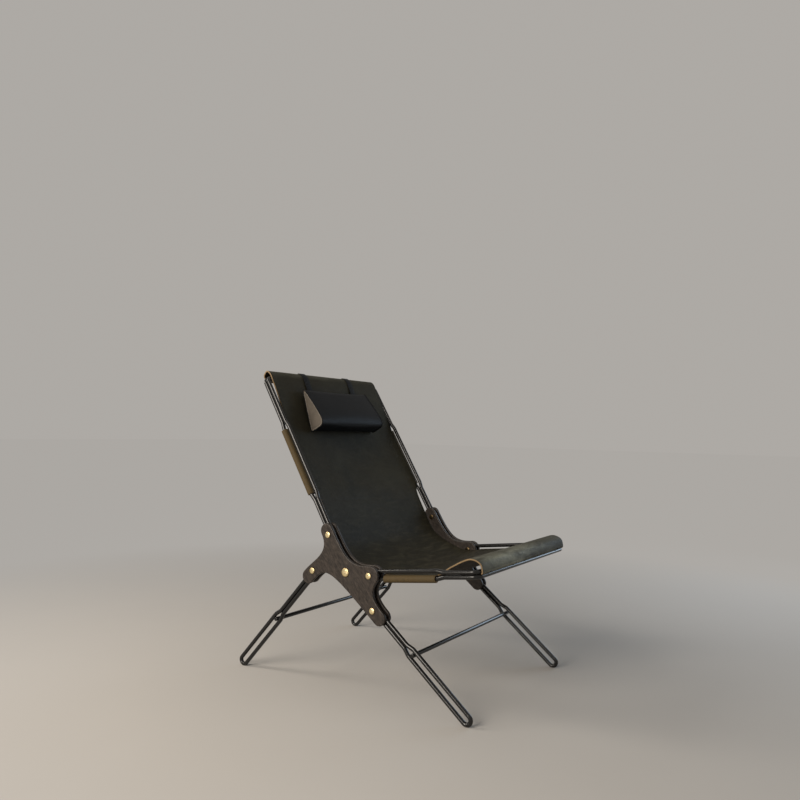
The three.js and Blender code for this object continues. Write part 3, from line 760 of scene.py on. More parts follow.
def circle(sides: int) -> np.ndarray:
    """Points evenly round a circle of radius 1."""
    turn = np.linspace(0.0, FULL_TURN, sides, endpoint=False)
    return np.stack([np.cos(turn), np.sin(turn)], 1)


def turned_about(vector: np.ndarray, axis: np.ndarray, angle: float) -> np.ndarray:
    """A vector turned about a unit axis."""
    cosine, sine = math.cos(angle), math.sin(angle)
    return vector * cosine + np.cross(axis, vector) * sine + axis * np.dot(axis, vector) * (1.0 - cosine)


def ring_faces(rings: int, sides: int, closed: bool = False) -> Faces:
    """Quads between rings of vertices that lie one after another.

    Args:
        rings: how many rings there are.
        sides: vertices in each.
        closed: whether the last ring meets the first.

    Returns:
        The faces.
    """
    faces = []
    for i in range(rings if closed else rings - 1):
        a, b = i * sides, (i + 1) % rings * sides
        faces += [(a + k, a + (k + 1) % sides, b + (k + 1) % sides, b + k) for k in range(sides)]
    return faces


def capped_faces(rings: int, sides: int) -> Faces:
    """Quads between rings of vertices, with a face across each end."""
    last = (rings - 1) * sides
    return [*ring_faces(rings, sides), tuple(range(sides)), tuple(range(last, last + sides))]


def tube(line: np.ndarray, radius: float, sides: int) -> tuple[np.ndarray, Faces]:
    """A round rod along a closed line, without a twist where it closes.

    Args:
        line: points of its middle, in order.
        radius: half its thickness.
        sides: flats round it.

    Returns:
        Its vertices and faces.
    """
    headings = unit(np.roll(line, -1, 0) - np.roll(line, 1, 0))
    aside = np.array([0.3, 0.5, 0.8])
    normal = unit(np.cross(aside, headings[0]))
    normals = [normal]
    for before, after in zip(headings, np.roll(headings, -1, 0)):
        axis = np.cross(before, after)
        size = np.linalg.norm(axis)
        if size > 1e-9:
            normal = turned_about(normal, axis / size, math.atan2(size, float(before @ after)))
        normals.append(normal)
    first, last = normals[0], normals.pop()
    twist = math.atan2(float(np.cross(last, first) @ headings[0]), float(last @ first))
    points = []
    for i, (at, heading, normal) in enumerate(zip(line, headings, normals)):
        normal = turned_about(normal, heading, twist * i / len(line))
        points.append(at + radius * circle(sides) @ np.array([normal, np.cross(heading, normal)]))
    return np.concatenate(points), ring_faces(len(line), sides, True)


def bent_line(corners: Corners, step: float = math.radians(6.0)) -> np.ndarray:
    """Middle of a rod that runs straight between corners and bends round each one.

    Args:
        corners: each corner's place and bend radius, round a closed loop.
        step: the largest turn between two points.

    Returns:
        The points.
    """
    line = []
    for i, (at, bend) in enumerate(corners):
        into = unit(at - corners[i - 1][0])
        out = unit(corners[(i + 1) % len(corners)][0] - at)
        turn = math.acos(float(np.clip(into @ out, -1.0, 1.0)))
        axis = unit(np.cross(into, out))
        start = at - into * bend * math.tan(turn / 2.0)
        centre = start + np.cross(axis, into) * bend
        steps = max(2, math.ceil(turn / step))
        line += [centre + turned_about(start - centre, axis, turn * k / steps) for k in range(steps + 1)]
    return np.array(line)


# Lines that the pieces share


@dataclass(frozen=True, eq=False)
class Run:
    """A straight line of rods in the side view: s runs along it from its bolt, and o lies across it."""

    bolt: np.ndarray
    degrees: float
    turn: float = 1.0

    @property
    def along(self) -> np.ndarray:
        """The line's direction, as (y, z)."""
        return np.array([math.cos(math.radians(self.degrees)), math.sin(math.radians(self.degrees))])

    @property
    def across(self) -> np.ndarray:
        """The direction across the line, as (y, z)."""
        return np.array([-self.along[1], self.along[0]]) * self.turn

    def at(self, s: float, o: float) -> np.ndarray:
        """The point (y, z) at s and o."""
        return self.bolt + s * self.along + o * self.across

    def point(self, x: float, s: float, o: float) -> np.ndarray:
        """The point in space at x, s and o."""
        return np.array([x, *self.at(s, o)])

    def measure(self, place: np.ndarray) -> tuple[float, float]:
        """The s and o of a point (y, z)."""
        arm = place - self.bolt
        return float(arm @ self.along), float(arm @ self.across)


@dataclass(frozen=True, eq=False)
class Skeleton:
    """Rod lines and sizes that several pieces share."""

    back: Run
    seat: Run
    front_leg: Run
    rear_leg: Run
    centre: np.ndarray
    half: float
    rod: float
    fit: float = 0.3 * MM
    shank: float = 8.0 * MM
    centre_shank: float = 10.0 * MM
    nut_wall: float = 1.6 * MM
    corner_bend: float = 18.0 * MM
    leather: float = 4.0 * MM
    plate: float = 10.0 * MM
    back_reach: float = 535.0 * MM
    seat_reach: float = 330.0 * MM
    back_tab: tuple[float, float] = (136.0 * MM, 352.0 * MM)
    seat_tab: tuple[float, float] = (44.0 * MM, 207.0 * MM)

    @property
    def bolts(self) -> dict[str, np.ndarray]:
        """Places (y, z) of the four smaller bolts, by name."""
        runs = {"back": self.back, "seat": self.seat, "front_leg": self.front_leg, "rear_leg": self.rear_leg}
        return {name: run.bolt for name, run in runs.items()}

    @property
    def pair(self) -> float:
        """Middle to middle of two rods side by side."""
        return self.rod + self.fit

    @property
    def eye(self) -> float:
        """Middle to middle of two rods round a bolt, and along a sleeve."""
        return self.shank + self.rod + 2.0 * self.fit

    @property
    def wrap(self) -> float:
        """Radius of the middle of leather round a rod."""
        return self.rod / 2.0 + self.fit + self.leather / 2.0

    @property
    def tab_level(self) -> float:
        """Middle of the panel above the line of the rods, at a sleeve."""
        return self.wrap - self.eye / 2.0

    @property
    def outer(self) -> float:
        """Middle of the chair to the near face of an outer plate."""
        return self.half + self.rod / 2.0 + self.fit

    @property
    def inner(self) -> float:
        """Middle of the chair to the near face of an inner plate."""
        return self.half - self.rod / 2.0 - self.fit - self.plate

    @classmethod
    def from_frame(cls) -> Skeleton:
        """Reads the bolts' places and the chair's width from the frame, and gives the rods' angles and thickness.

        Returns:
            The lines.
        """
        names = ("back", "seat", "front_leg", "rear_leg", "centre")
        boxes = [np.array(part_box(f"right_{name}_bolt")) for name in names]
        back, seat, front_leg, rear_leg, centre = (box.mean(0)[1:] for box in boxes)
        rod = 12.0 * MM
        return cls(
            back=Run(back, 90.0 - 31.3),
            seat=Run(seat, 180.0 - 7.4, -1.0),
            front_leg=Run(front_leg, 180.0 + 38.6),
            rear_leg=Run(rear_leg, -48.0),
            centre=centre,
            half=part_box("front_stretcher")[1].x - rod / 2.0,
            rod=rod,
        )


@dataclass
class RodWork:
    """The two frames, the four legs and the two stretchers, all of one rod."""

    lines: Skeleton
    finish: Material
    jog: float = 20.0 * MM
    jog_bend: float = 24.0 * MM
    eye_run: float = 12.0 * MM
    margin: float = 4.0 * MM
    front_stretcher: float = 160.0 * MM
    rear_stretcher: float = 222.0 * MM
    foot_flat: float = 1.0 * MM
    end_round: float = 1.2 * MM
    half_round_slack: float = 0.01 * MM
    sides: int = 24

    def build(self) -> None:
        """Builds every rod and settles it."""
        lines = self.lines
        pair, eye = lines.pair / 2.0, lines.eye / 2.0
        first, last = lines.back_tab[0] - self.margin, lines.back_tab[1] + self.margin
        eyed = [(self.eye_run, eye), (self.eye_run + self.jog, pair)]
        back = [*eyed, (first - self.jog, pair), (first, eye), (last, eye), (last + self.jog, pair)]
        front = lines.seat_tab[1] + self.margin
        seat = [(front, eye), (front + self.jog, pair)]
        self._loop("back_rods", self._frame(lines.back, lines.back_reach, back), "back_frame")
        self._loop("seat_rods", self._frame(lines.seat, lines.seat_reach, seat), "seat_frame")
        for word, run, stretcher in (
            ("front", lines.front_leg, self.front_stretcher), ("rear", lines.rear_leg, self.rear_stretcher),
        ):
            for side in Side:
                node = f"{side.word}_{word}_leg"
                self._loop(f"{node}_rod", self._leg(run, side.value * lines.half, stretcher, eyed), node)
            self._stretcher(f"{word}_stretcher", run.at(stretcher, 0.0))

    def _loop(self, name: str, corners: Corners, node: str) -> None:
        """Bends one rod round its corners, with flat feet.

        Args:
            name: the piece's name.
            corners: the rod's corners.
            node: the frame node that it stands for.
        """
        points, faces = tube(bent_line(corners), self.lines.rod / 2.0, self.sides)
        points[:, 2] = np.maximum(points[:, 2], 0.0)
        settle(mesh_piece(name, points, faces, self.finish), Body.CHAIR, Slot.ROD, node)

    def _half_round(self, run: Run, x: float, s: float, half: float, enter: int) -> Corners:
        """A half turn, entered on one rod of a pair and left on the other."""
        return [(run.point(x, s, side * half), half - self.half_round_slack) for side in (enter, -enter)]

    def _jogs(self, run: Run, x: float, side: int, halves: Halves) -> Corners:
        """Corners where one rod of a pair steps in or out."""
        return [(run.point(x, s, side * half), self.jog_bend) for s, half in halves]

    def _frame(self, run: Run, reach: float, halves: Halves) -> Corners:
        """Corners of a frame: down a rod, round its bolt, up the other rod, across, and the same there.

        Args:
            run: the frame's line.
            reach: how far its bars lie from the bolts.
            halves: half the distance of a pair of rods, and where, from the bolt on.

        Returns:
            The corners.
        """
        corners, eye, pair = [], self.lines.eye / 2.0, self.lines.pair / 2.0
        for side in Side:
            x, enter = side.value * self.lines.half, -side.value
            start, stop = ((run.point(x, reach, way * pair), self.lines.corner_bend) for way in (enter, -enter))
            down, up = self._jogs(run, x, enter, halves[::-1]), self._jogs(run, x, -enter, halves)
            corners += [start, *down, *self._half_round(run, x, -eye, eye, enter), *up, stop]
        return corners

    def _leg(self, run: Run, x: float, stretcher: float, eyed: Halves) -> Corners:
        """Corners of a hairpin leg.

        Args:
            run: the leg's line.
            x: its place across the chair.
            stretcher: how far from the bolt its stretcher sits.
            eyed: half the distance of its rods at the bolt, and where.

        Returns:
            The corners.
        """
        rod, eye = self.lines.rod, self.lines.eye / 2.0
        spread = rod + self.lines.fit
        foot = (spread + rod / 2.0 - self.foot_flat - run.bolt[1]) / run.along[1]
        wide = stretcher - rod / 2.0 - self.margin
        halves = [*eyed, (wide - self.jog, self.lines.pair / 2.0), (wide, spread)]
        down, up = self._jogs(run, x, -1, halves), self._jogs(run, x, 1, halves[::-1])
        toes = self._half_round(run, x, foot + spread, spread, -1)
        return [*self._half_round(run, x, -eye, eye, 1), *down, *toes, *up]

    def _stretcher(self, node: str, at: np.ndarray) -> None:
        """A straight bar with eased ends, from leg to leg.

        Args:
            node: the frame node that it stands for.
            at: its middle (y, z).
        """
        radius, ease = self.lines.rod / 2.0, self.end_round
        length = self.lines.half + radius
        turn = np.linspace(0.0, QUARTER_TURN, 5)
        ends = [(length - ease * (1.0 - math.cos(a)), radius - ease * (1.0 - math.sin(a))) for a in turn]
        rings = [*[(-x, r) for x, r in ends], *ends[::-1]]
        points = [(x, *(at + r * spot)) for x, r in rings for spot in circle(self.sides)]
        piece = mesh_piece(f"{node}_bar", points, capped_faces(len(rings), self.sides), self.finish)
        outwards(piece)
        settle(piece, Body.CHAIR, Slot.ROD, node)


@dataclass(frozen=True, eq=False)
class Arm:
    """One arm of a cheek plate: its round end, and how the edge runs into it and out of it."""

    run: Run
    reach: float
    half: float
    sweep: float
    pull_in: float
    pull_out: float


@dataclass
class CheekPlates:
    """Four wood plates, an outer and an inner one at each side."""

    lines: Skeleton
    finish: Material
    arm_half: float = 21.0 * MM
    seat_arm_half: float = 26.5 * MM
    rounding: float = 3.0 * MM
    arc_steps: int = 26
    curve_steps: int = 40
    round_steps: int = 6
    hole_sides: int = 28

    def _arms(self) -> tuple[Arm, ...]:
        """The four arms, in their order round the plate.

        Returns:
            The arms.
        """
        lines, half = self.lines, self.arm_half
        return (
            Arm(lines.back, 13.0 * MM, half, 90.0, 62.0 * MM, 98.0 * MM),
            Arm(lines.seat, 4.5 * MM, self.seat_arm_half, 45.0, 66.0 * MM, 28.0 * MM),
            Arm(lines.front_leg, 27.0 * MM, half, 90.0, 52.0 * MM, 212.0 * MM),
            Arm(lines.rear_leg, 25.0 * MM, half, 90.0, 72.0 * MM, 50.0 * MM),
        )

    def outline(self) -> np.ndarray:
        """The plate's edge in the side view.

        Returns:
            Points (y, z), anticlockwise.
        """
        rounds, joins = [], []
        for arm in self._arms():
            stop = math.radians(arm.run.degrees + arm.sweep)
            turn = np.linspace(math.radians(arm.run.degrees - 90.0), stop, self.arc_steps)
            arc = arm.run.at(arm.reach, 0.0) + arm.half * np.stack([np.cos(turn), np.sin(turn)], 1)
            onward = np.array([-math.sin(stop), math.cos(stop)])
            rounds.append(arc)
            joins.append((arc[0] - arm.run.along * arm.pull_in, arc[-1] + onward * arm.pull_out))
        places = np.linspace(0.0, 1.0, self.curve_steps, endpoint=False)
        parts = []
        for i, arc in enumerate(rounds):
            n = (i + 1) % len(rounds)
            parts += [arc[:-1], bezier((arc[-1], joins[i][1], joins[n][0], rounds[n][0]), places)]
        return np.concatenate(parts)

    def build(self) -> None:
        """Builds the four plates and settles them."""
        lines = self.lines
        outline = self.outline()
        bolts = [*((at, lines.shank) for at in lines.bolts.values()), (lines.centre, lines.centre_shank)]
        for side in Side:
            for word, near, wall in (("outer", lines.outer, 0.0), ("inner", lines.inner, lines.nut_wall + lines.fit)):
                holes = [at + (shank / 2.0 + lines.fit + wall) * circle(self.hole_sides) for at, shank in bolts]
                low = near if side is Side.LEFT else -near - lines.plate
                node = f"{side.word}_{word}_plate"
                settle(self._plate(f"{node}_wood", outline, holes, low), Body.CHAIR, Slot.WOOD, node)

    def _plate(self, name: str, outline: np.ndarray, holes: list[np.ndarray], low: float) -> Piece:
        """One plate with rounded edges and bolt holes.

        Args:
            name: the piece's name.
            outline: its edge, anticlockwise.
            holes: the edge of each hole.
            low: x of its lower face.

        Returns:
            The plate.
        """
        tangent = unit(np.roll(outline, -1, 0) - np.roll(outline, 1, 0))
        normal = np.stack([tangent[:, 1], -tangent[:, 0]], 1)
        turn = np.linspace(0.0, QUARTER_TURN, self.round_steps + 1)
        half = [(self.rounding * (1.0 - math.sin(a)), self.rounding * (1.0 - math.cos(a))) for a in turn]
        profile = half + [(inset, self.lines.plate - depth) for inset, depth in half[::-1]]
        edges = [(outline - normal * inset, depth) for inset, depth in profile]
        edges += [(hole, depth) for hole in holes for depth in (0.0, self.lines.plate)]
        work = bmesh.new()
        loops = [[work.verts.new((low + depth, y, z)) for y, z in edge] for edge, depth in edges]
        rings, bores = loops[:len(profile)], loops[len(profile):]
        for near, far in [*zip(rings, rings[1:]), *zip(bores[1::2], bores[::2])]:
            for k, vert in enumerate(near):
                n = (k + 1) % len(near)
                work.faces.new((vert, near[n], far[n], far[k])).smooth = True
        for way, ends in ((-1.0, [rings[0], *bores[::2]]), (1.0, [rings[-1], *bores[1::2]])):
            rims = [work.edges.get((vert, end[k - len(end) + 1])) for end in ends for k, vert in enumerate(end)]
            bmesh.ops.triangle_fill(work, use_beauty=True, edges=rims, normal=(way, 0.0, 0.0))
        bmesh.ops.recalc_face_normals(work, faces=work.faces)
        piece = mesh_piece(name, [], [], self.finish)
        work.to_mesh(piece.data)
        work.free()
        return piece


# Fasteners and stitches, by Geometry Nodes


class Tree:
    """A Geometry Nodes tree with named inputs, run on a piece and then made plain."""

    NAME: str
    SIZES: tuple[str, ...]
    COUNTS: tuple[str, ...] = ()

    def __init__(self) -> None:
        """Makes the tree's sockets and fills it."""
        self.tree = bpy.data.node_groups.new(self.NAME, "GeometryNodeTree")
        self.tree.is_modifier = True
        make = self.tree.interface.new_socket
        make("Geometry", in_out="INPUT", socket_type="NodeSocketGeometry")
        kinds = {**dict.fromkeys(self.SIZES, "Float"), **dict.fromkeys(self.COUNTS, "Int"), "Material": "Material"}
        self.sockets = {
            word: make(word, in_out="INPUT", socket_type=f"NodeSocket{kind}") for word, kind in kinds.items()
        }
        make("Geometry", in_out="OUTPUT", socket_type="NodeSocketGeometry")
        self.nodes = Nodes(self.tree)
        self.given = self.nodes.add("NodeGroupInput").outputs
        self._build()

    def _build(self) -> None:
        """Fills the tree."""
        raise NotImplementedError

    def _vector(self, name: str) -> Socket:
        """A vector that the points carry."""
        return self.nodes.add("GeometryNodeInputNamedAttribute", {"Name": name}, data_type="FLOAT_VECTOR").outputs[0]

    def _end(self, points: Socket, instance: Socket, rotation: Socket) -> None:
        """Puts an instance on each point, realizes all, shades them smooth and gives them the material.

        Args:
            points: where they stand.
            instance: what stands there.
            rotation: how each is turned.
        """
        geometry = self.nodes.add(
            "GeometryNodeInstanceOnPoints", {"Points": points, "Instance": instance, "Rotation": rotation}
        ).outputs[0]
        for kind, inputs in (
            ("GeometryNodeRealizeInstances", {}),
            ("GeometryNodeSetShadeSmooth", {}),
            ("GeometryNodeSetMaterial", {"Material": self.given["Material"]}),
        ):
            geometry = self.nodes.add(kind, {"Geometry": geometry, **inputs}).outputs[0]
        self.nodes.add("NodeGroupOutput", {"Geometry": geometry})

    def run(self, piece: Piece, values: dict[str, Any]) -> Piece:
        """Runs the tree on a piece.

        Args:
            piece: the mesh of points or edges that it starts from.
            values: a value for each named input.

        Returns:
            The piece, with the result as its mesh.
        """
        modifier = piece.modifiers.new(self.NAME, "NODES")
        modifier.node_group = self.tree
        for word, value in values.items():
            modifier[self.sockets[word].identifier] = value
        make_plain(piece)
        return piece


class TurnedTree(Tree):
    """Puts a turned fastener on each point, along the point's axis attribute."""

    NAME = "turned_fasteners"
    SIZES = ("Head Radius", "Head Height", "Shank Radius", "Shank Length")
    COUNTS = ("Sides",)
    # Shares of the head's and the shank's radius, and of the head's height and the shank's length
    PROFILE = (
        (0.00, 0.0, 1.00, 0.0), (0.26, 0.0, 0.98, 0.0), (0.48, 0.0, 0.93, 0.0), (0.66, 0.0, 0.85, 0.0),
        (0.80, 0.0, 0.75, 0.0), (0.90, 0.0, 0.63, 0.0), (0.96, 0.0, 0.49, 0.0), (0.99, 0.0, 0.34, 0.0),
        (1.00, 0.0, 0.20, 0.0), (1.00, 0.0, 0.04, 0.0), (0.99, 0.0, 0.00, 0.0), (0.0, 1.04, 0.0, 0.0),
        (0.0, 1.0, 0.0, 0.02), (0.0, 1.0, 0.0, 0.97), (0.0, 0.86, 0.0, 1.0), (0.0, 0.0, 0.0, 1.0),
    )

    def _share(self, place: Any, column: int) -> Socket:
        """One column of the profile.

        Args:
            place: the way along the profile, from 0 to 1.
            column: which column.

        Returns:
            The share there.
        """
        node = self.nodes.add("ShaderNodeFloatCurve", {"Value": place})
        points = node.mapping.curves[0].points
        shares = [row[column] for row in self.PROFILE]
        top, last = max(1.0, *shares), len(shares) - 1
        points[0].location = (0.0, shares[0] / top)
        points[1].location = (1.0, shares[last] / top)
        for k in range(1, last):
            points.new(k / last, shares[k] / top)
        for point in points:
            point.handle_type = "VECTOR"
        node.mapping.update()
        return self.nodes.times(node.outputs[0], top)

    def _build(self) -> None:
        """Turns a grid round an axis and places it."""
        nodes, given = self.nodes, self.given
        rows = nodes.math("ADD", given["Sides"], 1.0)
        grid = {"Size X": 1.0, "Size Y": 1.0, "Vertices X": len(self.PROFILE), "Vertices Y": rows}
        shape = nodes.add("GeometryNodeMeshGrid", grid).outputs[0]
        place = nodes.add("ShaderNodeSeparateXYZ", {0: nodes.add("GeometryNodeInputPosition").outputs[0]}).outputs
        along = nodes.math("ADD", place["X"], 0.5)
        angle = nodes.times(place["Y"], FULL_TURN)
        rim, neck, rise, fall = (self._share(along, column) for column in range(4))
        radius = nodes.math("MULTIPLY_ADD", neck, given["Shank Radius"], nodes.times(rim, given["Head Radius"]))
        height = nodes.math(
            "SUBTRACT", nodes.times(rise, given["Head Height"]), nodes.times(fall, given["Shank Length"])
        )
        level = {0: nodes.times(radius, nodes.math("COSINE", angle)), 1: nodes.times(radius, nodes.math("SINE", angle))}
        spot = nodes.add("ShaderNodeCombineXYZ", {**level, 2: height}).outputs[0]
        for name, value in (("turn", radius), ("rim", rim)):
            mark = {"Geometry": shape, "Name": name, "Value": value}
            shape = nodes.add("GeometryNodeStoreNamedAttribute", mark, data_type="FLOAT", domain="POINT").outputs[0]
        shape = nodes.add("GeometryNodeSetPosition", {"Geometry": shape, "Position": spot}).outputs[0]
        shape = nodes.add("GeometryNodeMergeByDistance", {"Geometry": shape, "Distance": 0.004 * MM}).outputs[0]
        facing = nodes.add("FunctionNodeAlignRotationToVector", {"Vector": self._vector("axis")}, axis="Z")
        self._end(given["Geometry"], shape, facing.outputs[0])


class StitchTree(Tree):
    """Lays even stitches along a line of edges, each with its back to the line's face attribute."""

    NAME = "stitch_row"
    SIZES = ("Pitch", "Length", "Thickness", "Slant")

    def _build(self) -> None:
        """Steps along the line and lays a stitch at each step."""
        nodes, given = self.nodes, self.given
        curve = nodes.add("GeometryNodeMeshToCurve", {"Mesh": given["Geometry"]}).outputs[0]
        steps = nodes.add("GeometryNodeResampleCurve", {"Curve": curve, "Length": given["Pitch"]}, mode="LENGTH")
        thick = nodes.times(given["Thickness"], 0.5)
        scale = nodes.add("ShaderNodeCombineXYZ", {0: nodes.times(given["Length"], 0.5), 1: thick, 2: thick})
        ball = nodes.add("GeometryNodeMeshUVSphere", {"Segments": 6, "Rings": 5, "Radius": 1.0}).outputs[0]
        lying = nodes.add("GeometryNodeTransform", {"Geometry": ball, "Rotation": (0.0, QUARTER_TURN, 0.0)}).outputs[0]
        stitch = nodes.add("GeometryNodeTransform", {"Geometry": lying, "Scale": scale.outputs[0]})
        turn = nodes.add("FunctionNodeAlignRotationToVector", {"Vector": self._vector("face")}, axis="Z")
        ahead = {"Rotation": turn.outputs[0], "Vector": nodes.add("GeometryNodeInputTangent").outputs[0]}
        turn = nodes.add("FunctionNodeAlignRotationToVector", ahead, axis="X", pivot_axis="Z")
        lean = nodes.add("FunctionNodeAxisAngleToRotation", {"Axis": (0.0, 0.0, 1.0), "Angle": given["Slant"]})
        slant = {"Rotation": turn.outputs[0], "Rotate By": lean.outputs[0]}
        turn = nodes.add("FunctionNodeRotateRotation", slant, rotation_space="LOCAL")
        self._end(steps.outputs[0], stitch.outputs[0], turn.outputs[0])


@dataclass
class StitchRow:
    """A row of stitches."""

    line: np.ndarray
    face: np.ndarray
    closed: bool = False


@dataclass(frozen=True)
class Seam:
    """How rows of stitches are sewn."""

    thread: Material
    pitch: float
    thickness: float
    stitch_share: float = 0.78
    slant: float = 9.0

    def sew(self, name: str, rows: list[StitchRow], tree: StitchTree) -> Piece:
        """Sews rows of stitches as one piece.

        Args:
            name: the piece's name.
            rows: the rows' lines on the surface.
            tree: the tree that lays the stitches.

        Returns:
            The stitches.
        """
        edges, start = [], 0
        for row in rows:
            end = start + len(row.line)
            edges += [(k, k + 1) for k in range(start, end - 1)]
            if row.closed:
                edges.append((end - 1, start))
            start = end
        piece = mesh_piece(name, np.concatenate([row.line for row in rows]), [], edges=edges)
        set_attribute(piece.data, "face", np.concatenate([row.face for row in rows]))
        sizes = (self.pitch, self.pitch * self.stitch_share, self.thickness, math.radians(self.slant))
        return tree.run(piece, {**dict(zip(tree.SIZES, sizes)), "Material": self.thread})


@dataclass
class Fasteners:
    """Bolts, barrel nuts and the sling's screws."""

    lines: Skeleton
    finishes: Finishes
    tree: TurnedTree
    head: float = 19.0 * MM
    head_height: float = 3.2 * MM
    centre_head: float = 26.0 * MM
    nut_lip: float = 2.6 * MM
    nut_flange: float = 2.4 * MM
    thread_short: float = 2.0 * MM
    sides: int = 40
    screw: float = 3.0 * MM
    screw_head: float = 6.0 * MM
    screw_head_height: float = 1.4 * MM
    screw_depth: float = 5.0 * MM
    screw_reach: float = 230.0 * MM
    screw_turn: float = 32.0
    screw_sides: int = 16

    def build(self) -> None:
        """Builds the fasteners and settles them."""
        lines = self.lines
        self._pairs("corner", lines.bolts, lines.shank, self.head)
        self._pairs("centre", {"centre": lines.centre}, lines.centre_shank, self.centre_head)
        self._screws()

    def _turn(self, name: str, spots: list[tuple[str, np.ndarray, np.ndarray]], values: tuple[Any, ...]) -> Piece:
        """Turns fasteners of one kind.

        Args:
            name: the piece's name.
            spots: the node, the place under the head and the way that the head faces, of each.
            values: the head's radius and height, the shank's radius and length, the sides and the material.

        Returns:
            The fasteners.
        """
        piece = mesh_piece(name, [at for _, at, _ in spots], [])
        set_attribute(piece.data, "axis", np.array([axis for _, _, axis in spots]))
        return self.tree.run(piece, dict(zip((*self.tree.SIZES, *self.tree.COUNTS, "Material"), values)))

    def _pairs(self, word: str, places: dict[str, np.ndarray], shank: float, head: float) -> None:
        """Bolts at some places of both sides, with their nuts.

        Args:
            word: start of the pieces' names.
            places: (y, z) of each bolt by name.
            shank: the bolts' thickness.
            head: the heads' width.
        """
        lines = self.lines
        outside = lines.outer + lines.plate + lines.fit
        length = outside - lines.inner - self.thread_short
        barrel = shank / 2.0 + lines.fit + lines.nut_wall
        bolt = (head / 2.0, self.head_height, shank / 2.0, length, self.sides, self.finishes.brass)
        nut = (barrel + self.nut_lip, self.nut_flange, barrel, lines.plate, self.sides, self.finishes.dull_brass)
        for kind, x, way, values in (("bolt", outside, 1.0, bolt), ("nut", lines.inner - lines.fit, -1.0, nut)):
            spots = [
                (f"{side.word}_{name}_{kind}", np.array([side.value * x, *at]), np.array([side.value * way, 0.0, 0.0]))
                for side in Side
                for name, at in places.items()
            ]
            piece = self._turn(f"{word}_{kind}s", spots, values)
            settle(piece, Body.CHAIR, Slot.BRASS, *[node for node, _, _ in spots])

    def _screws(self) -> None:
        """Screws that hold the sling's two turned-in ends."""
        lines = self.lines
        under = lines.rod / 2.0 + lines.leather + 2.0 * lines.fit
        spots = []
        for name, run, s, o, degrees in (
            ("front", lines.seat, lines.seat_reach, lines.pair / 2.0, -self.screw_turn),
            ("top", lines.back, lines.back_reach, -lines.pair / 2.0, -90.0 - self.screw_turn),
        ):
            angle = math.radians(degrees)
            axis = np.array([0.0, *(run.along * math.cos(angle) + run.across * math.sin(angle))])
            for k, x in enumerate(np.linspace(-self.screw_reach, self.screw_reach, 4), 1):
                spots.append((f"sling_{name}_screw_{k}", run.point(x, s, o) + axis * under, axis))
        length = under - lines.rod / 2.0 + self.screw_depth
        head = (self.screw_head / 2.0, self.screw_head_height)
        values = (*head, self.screw / 2.0, length, self.screw_sides, self.finishes.rod)
        piece = self._turn("sling_screws", spots, values)
        settle(piece, Body.CHAIR, Slot.ROD, *[node for node, _, _ in spots])


# Sling


class StopCurve:
    """A smooth curve through stops, even in pace between them."""

    def __init__(self, points: np.ndarray) -> None:
        """Keeps the stops, with one more beyond each end."""
        before, after = 2.0 * points[:1] - points[1:2], 2.0 * points[-1:] - points[-2:-1]
        self.points = np.concatenate([before, points, after])

    def at(self, place: float) -> np.ndarray:
        """The point at a place.

        Args:
            place: the way along the curve, where whole numbers are the stops.

        Returns:
            The point.
        """
        first = min(max(math.floor(place), 0), len(self.points) - 4)
        t = place - first
        p0, p1, p2, p3 = self.points[first:first + 4]
        d0, d1, d2 = (math.sqrt(np.linalg.norm(b - a)) for a, b in ((p0, p1), (p1, p2), (p2, p3)))
        m1 = ((p1 - p0) / d0 - (p2 - p0) / (d0 + d1) + (p2 - p1) / d1) * d1
        m2 = ((p2 - p1) / d1 - (p3 - p1) / (d1 + d2) + (p3 - p2) / d2) * d1
        square, cube = -3.0 * p1 + 3.0 * p2 - 2.0 * m1 - m2, 2.0 * p1 - 2.0 * p2 + m1 + m2
        return p1 + m1 * t + square * t**2 + cube * t**3


@dataclass(frozen=True, eq=False)
class Stop:
    """One stop of the sling's profile: the edge's place, the sag of the middle and the half width."""

    run: Run
    s: float
    o: float
    sag: float
    half: float


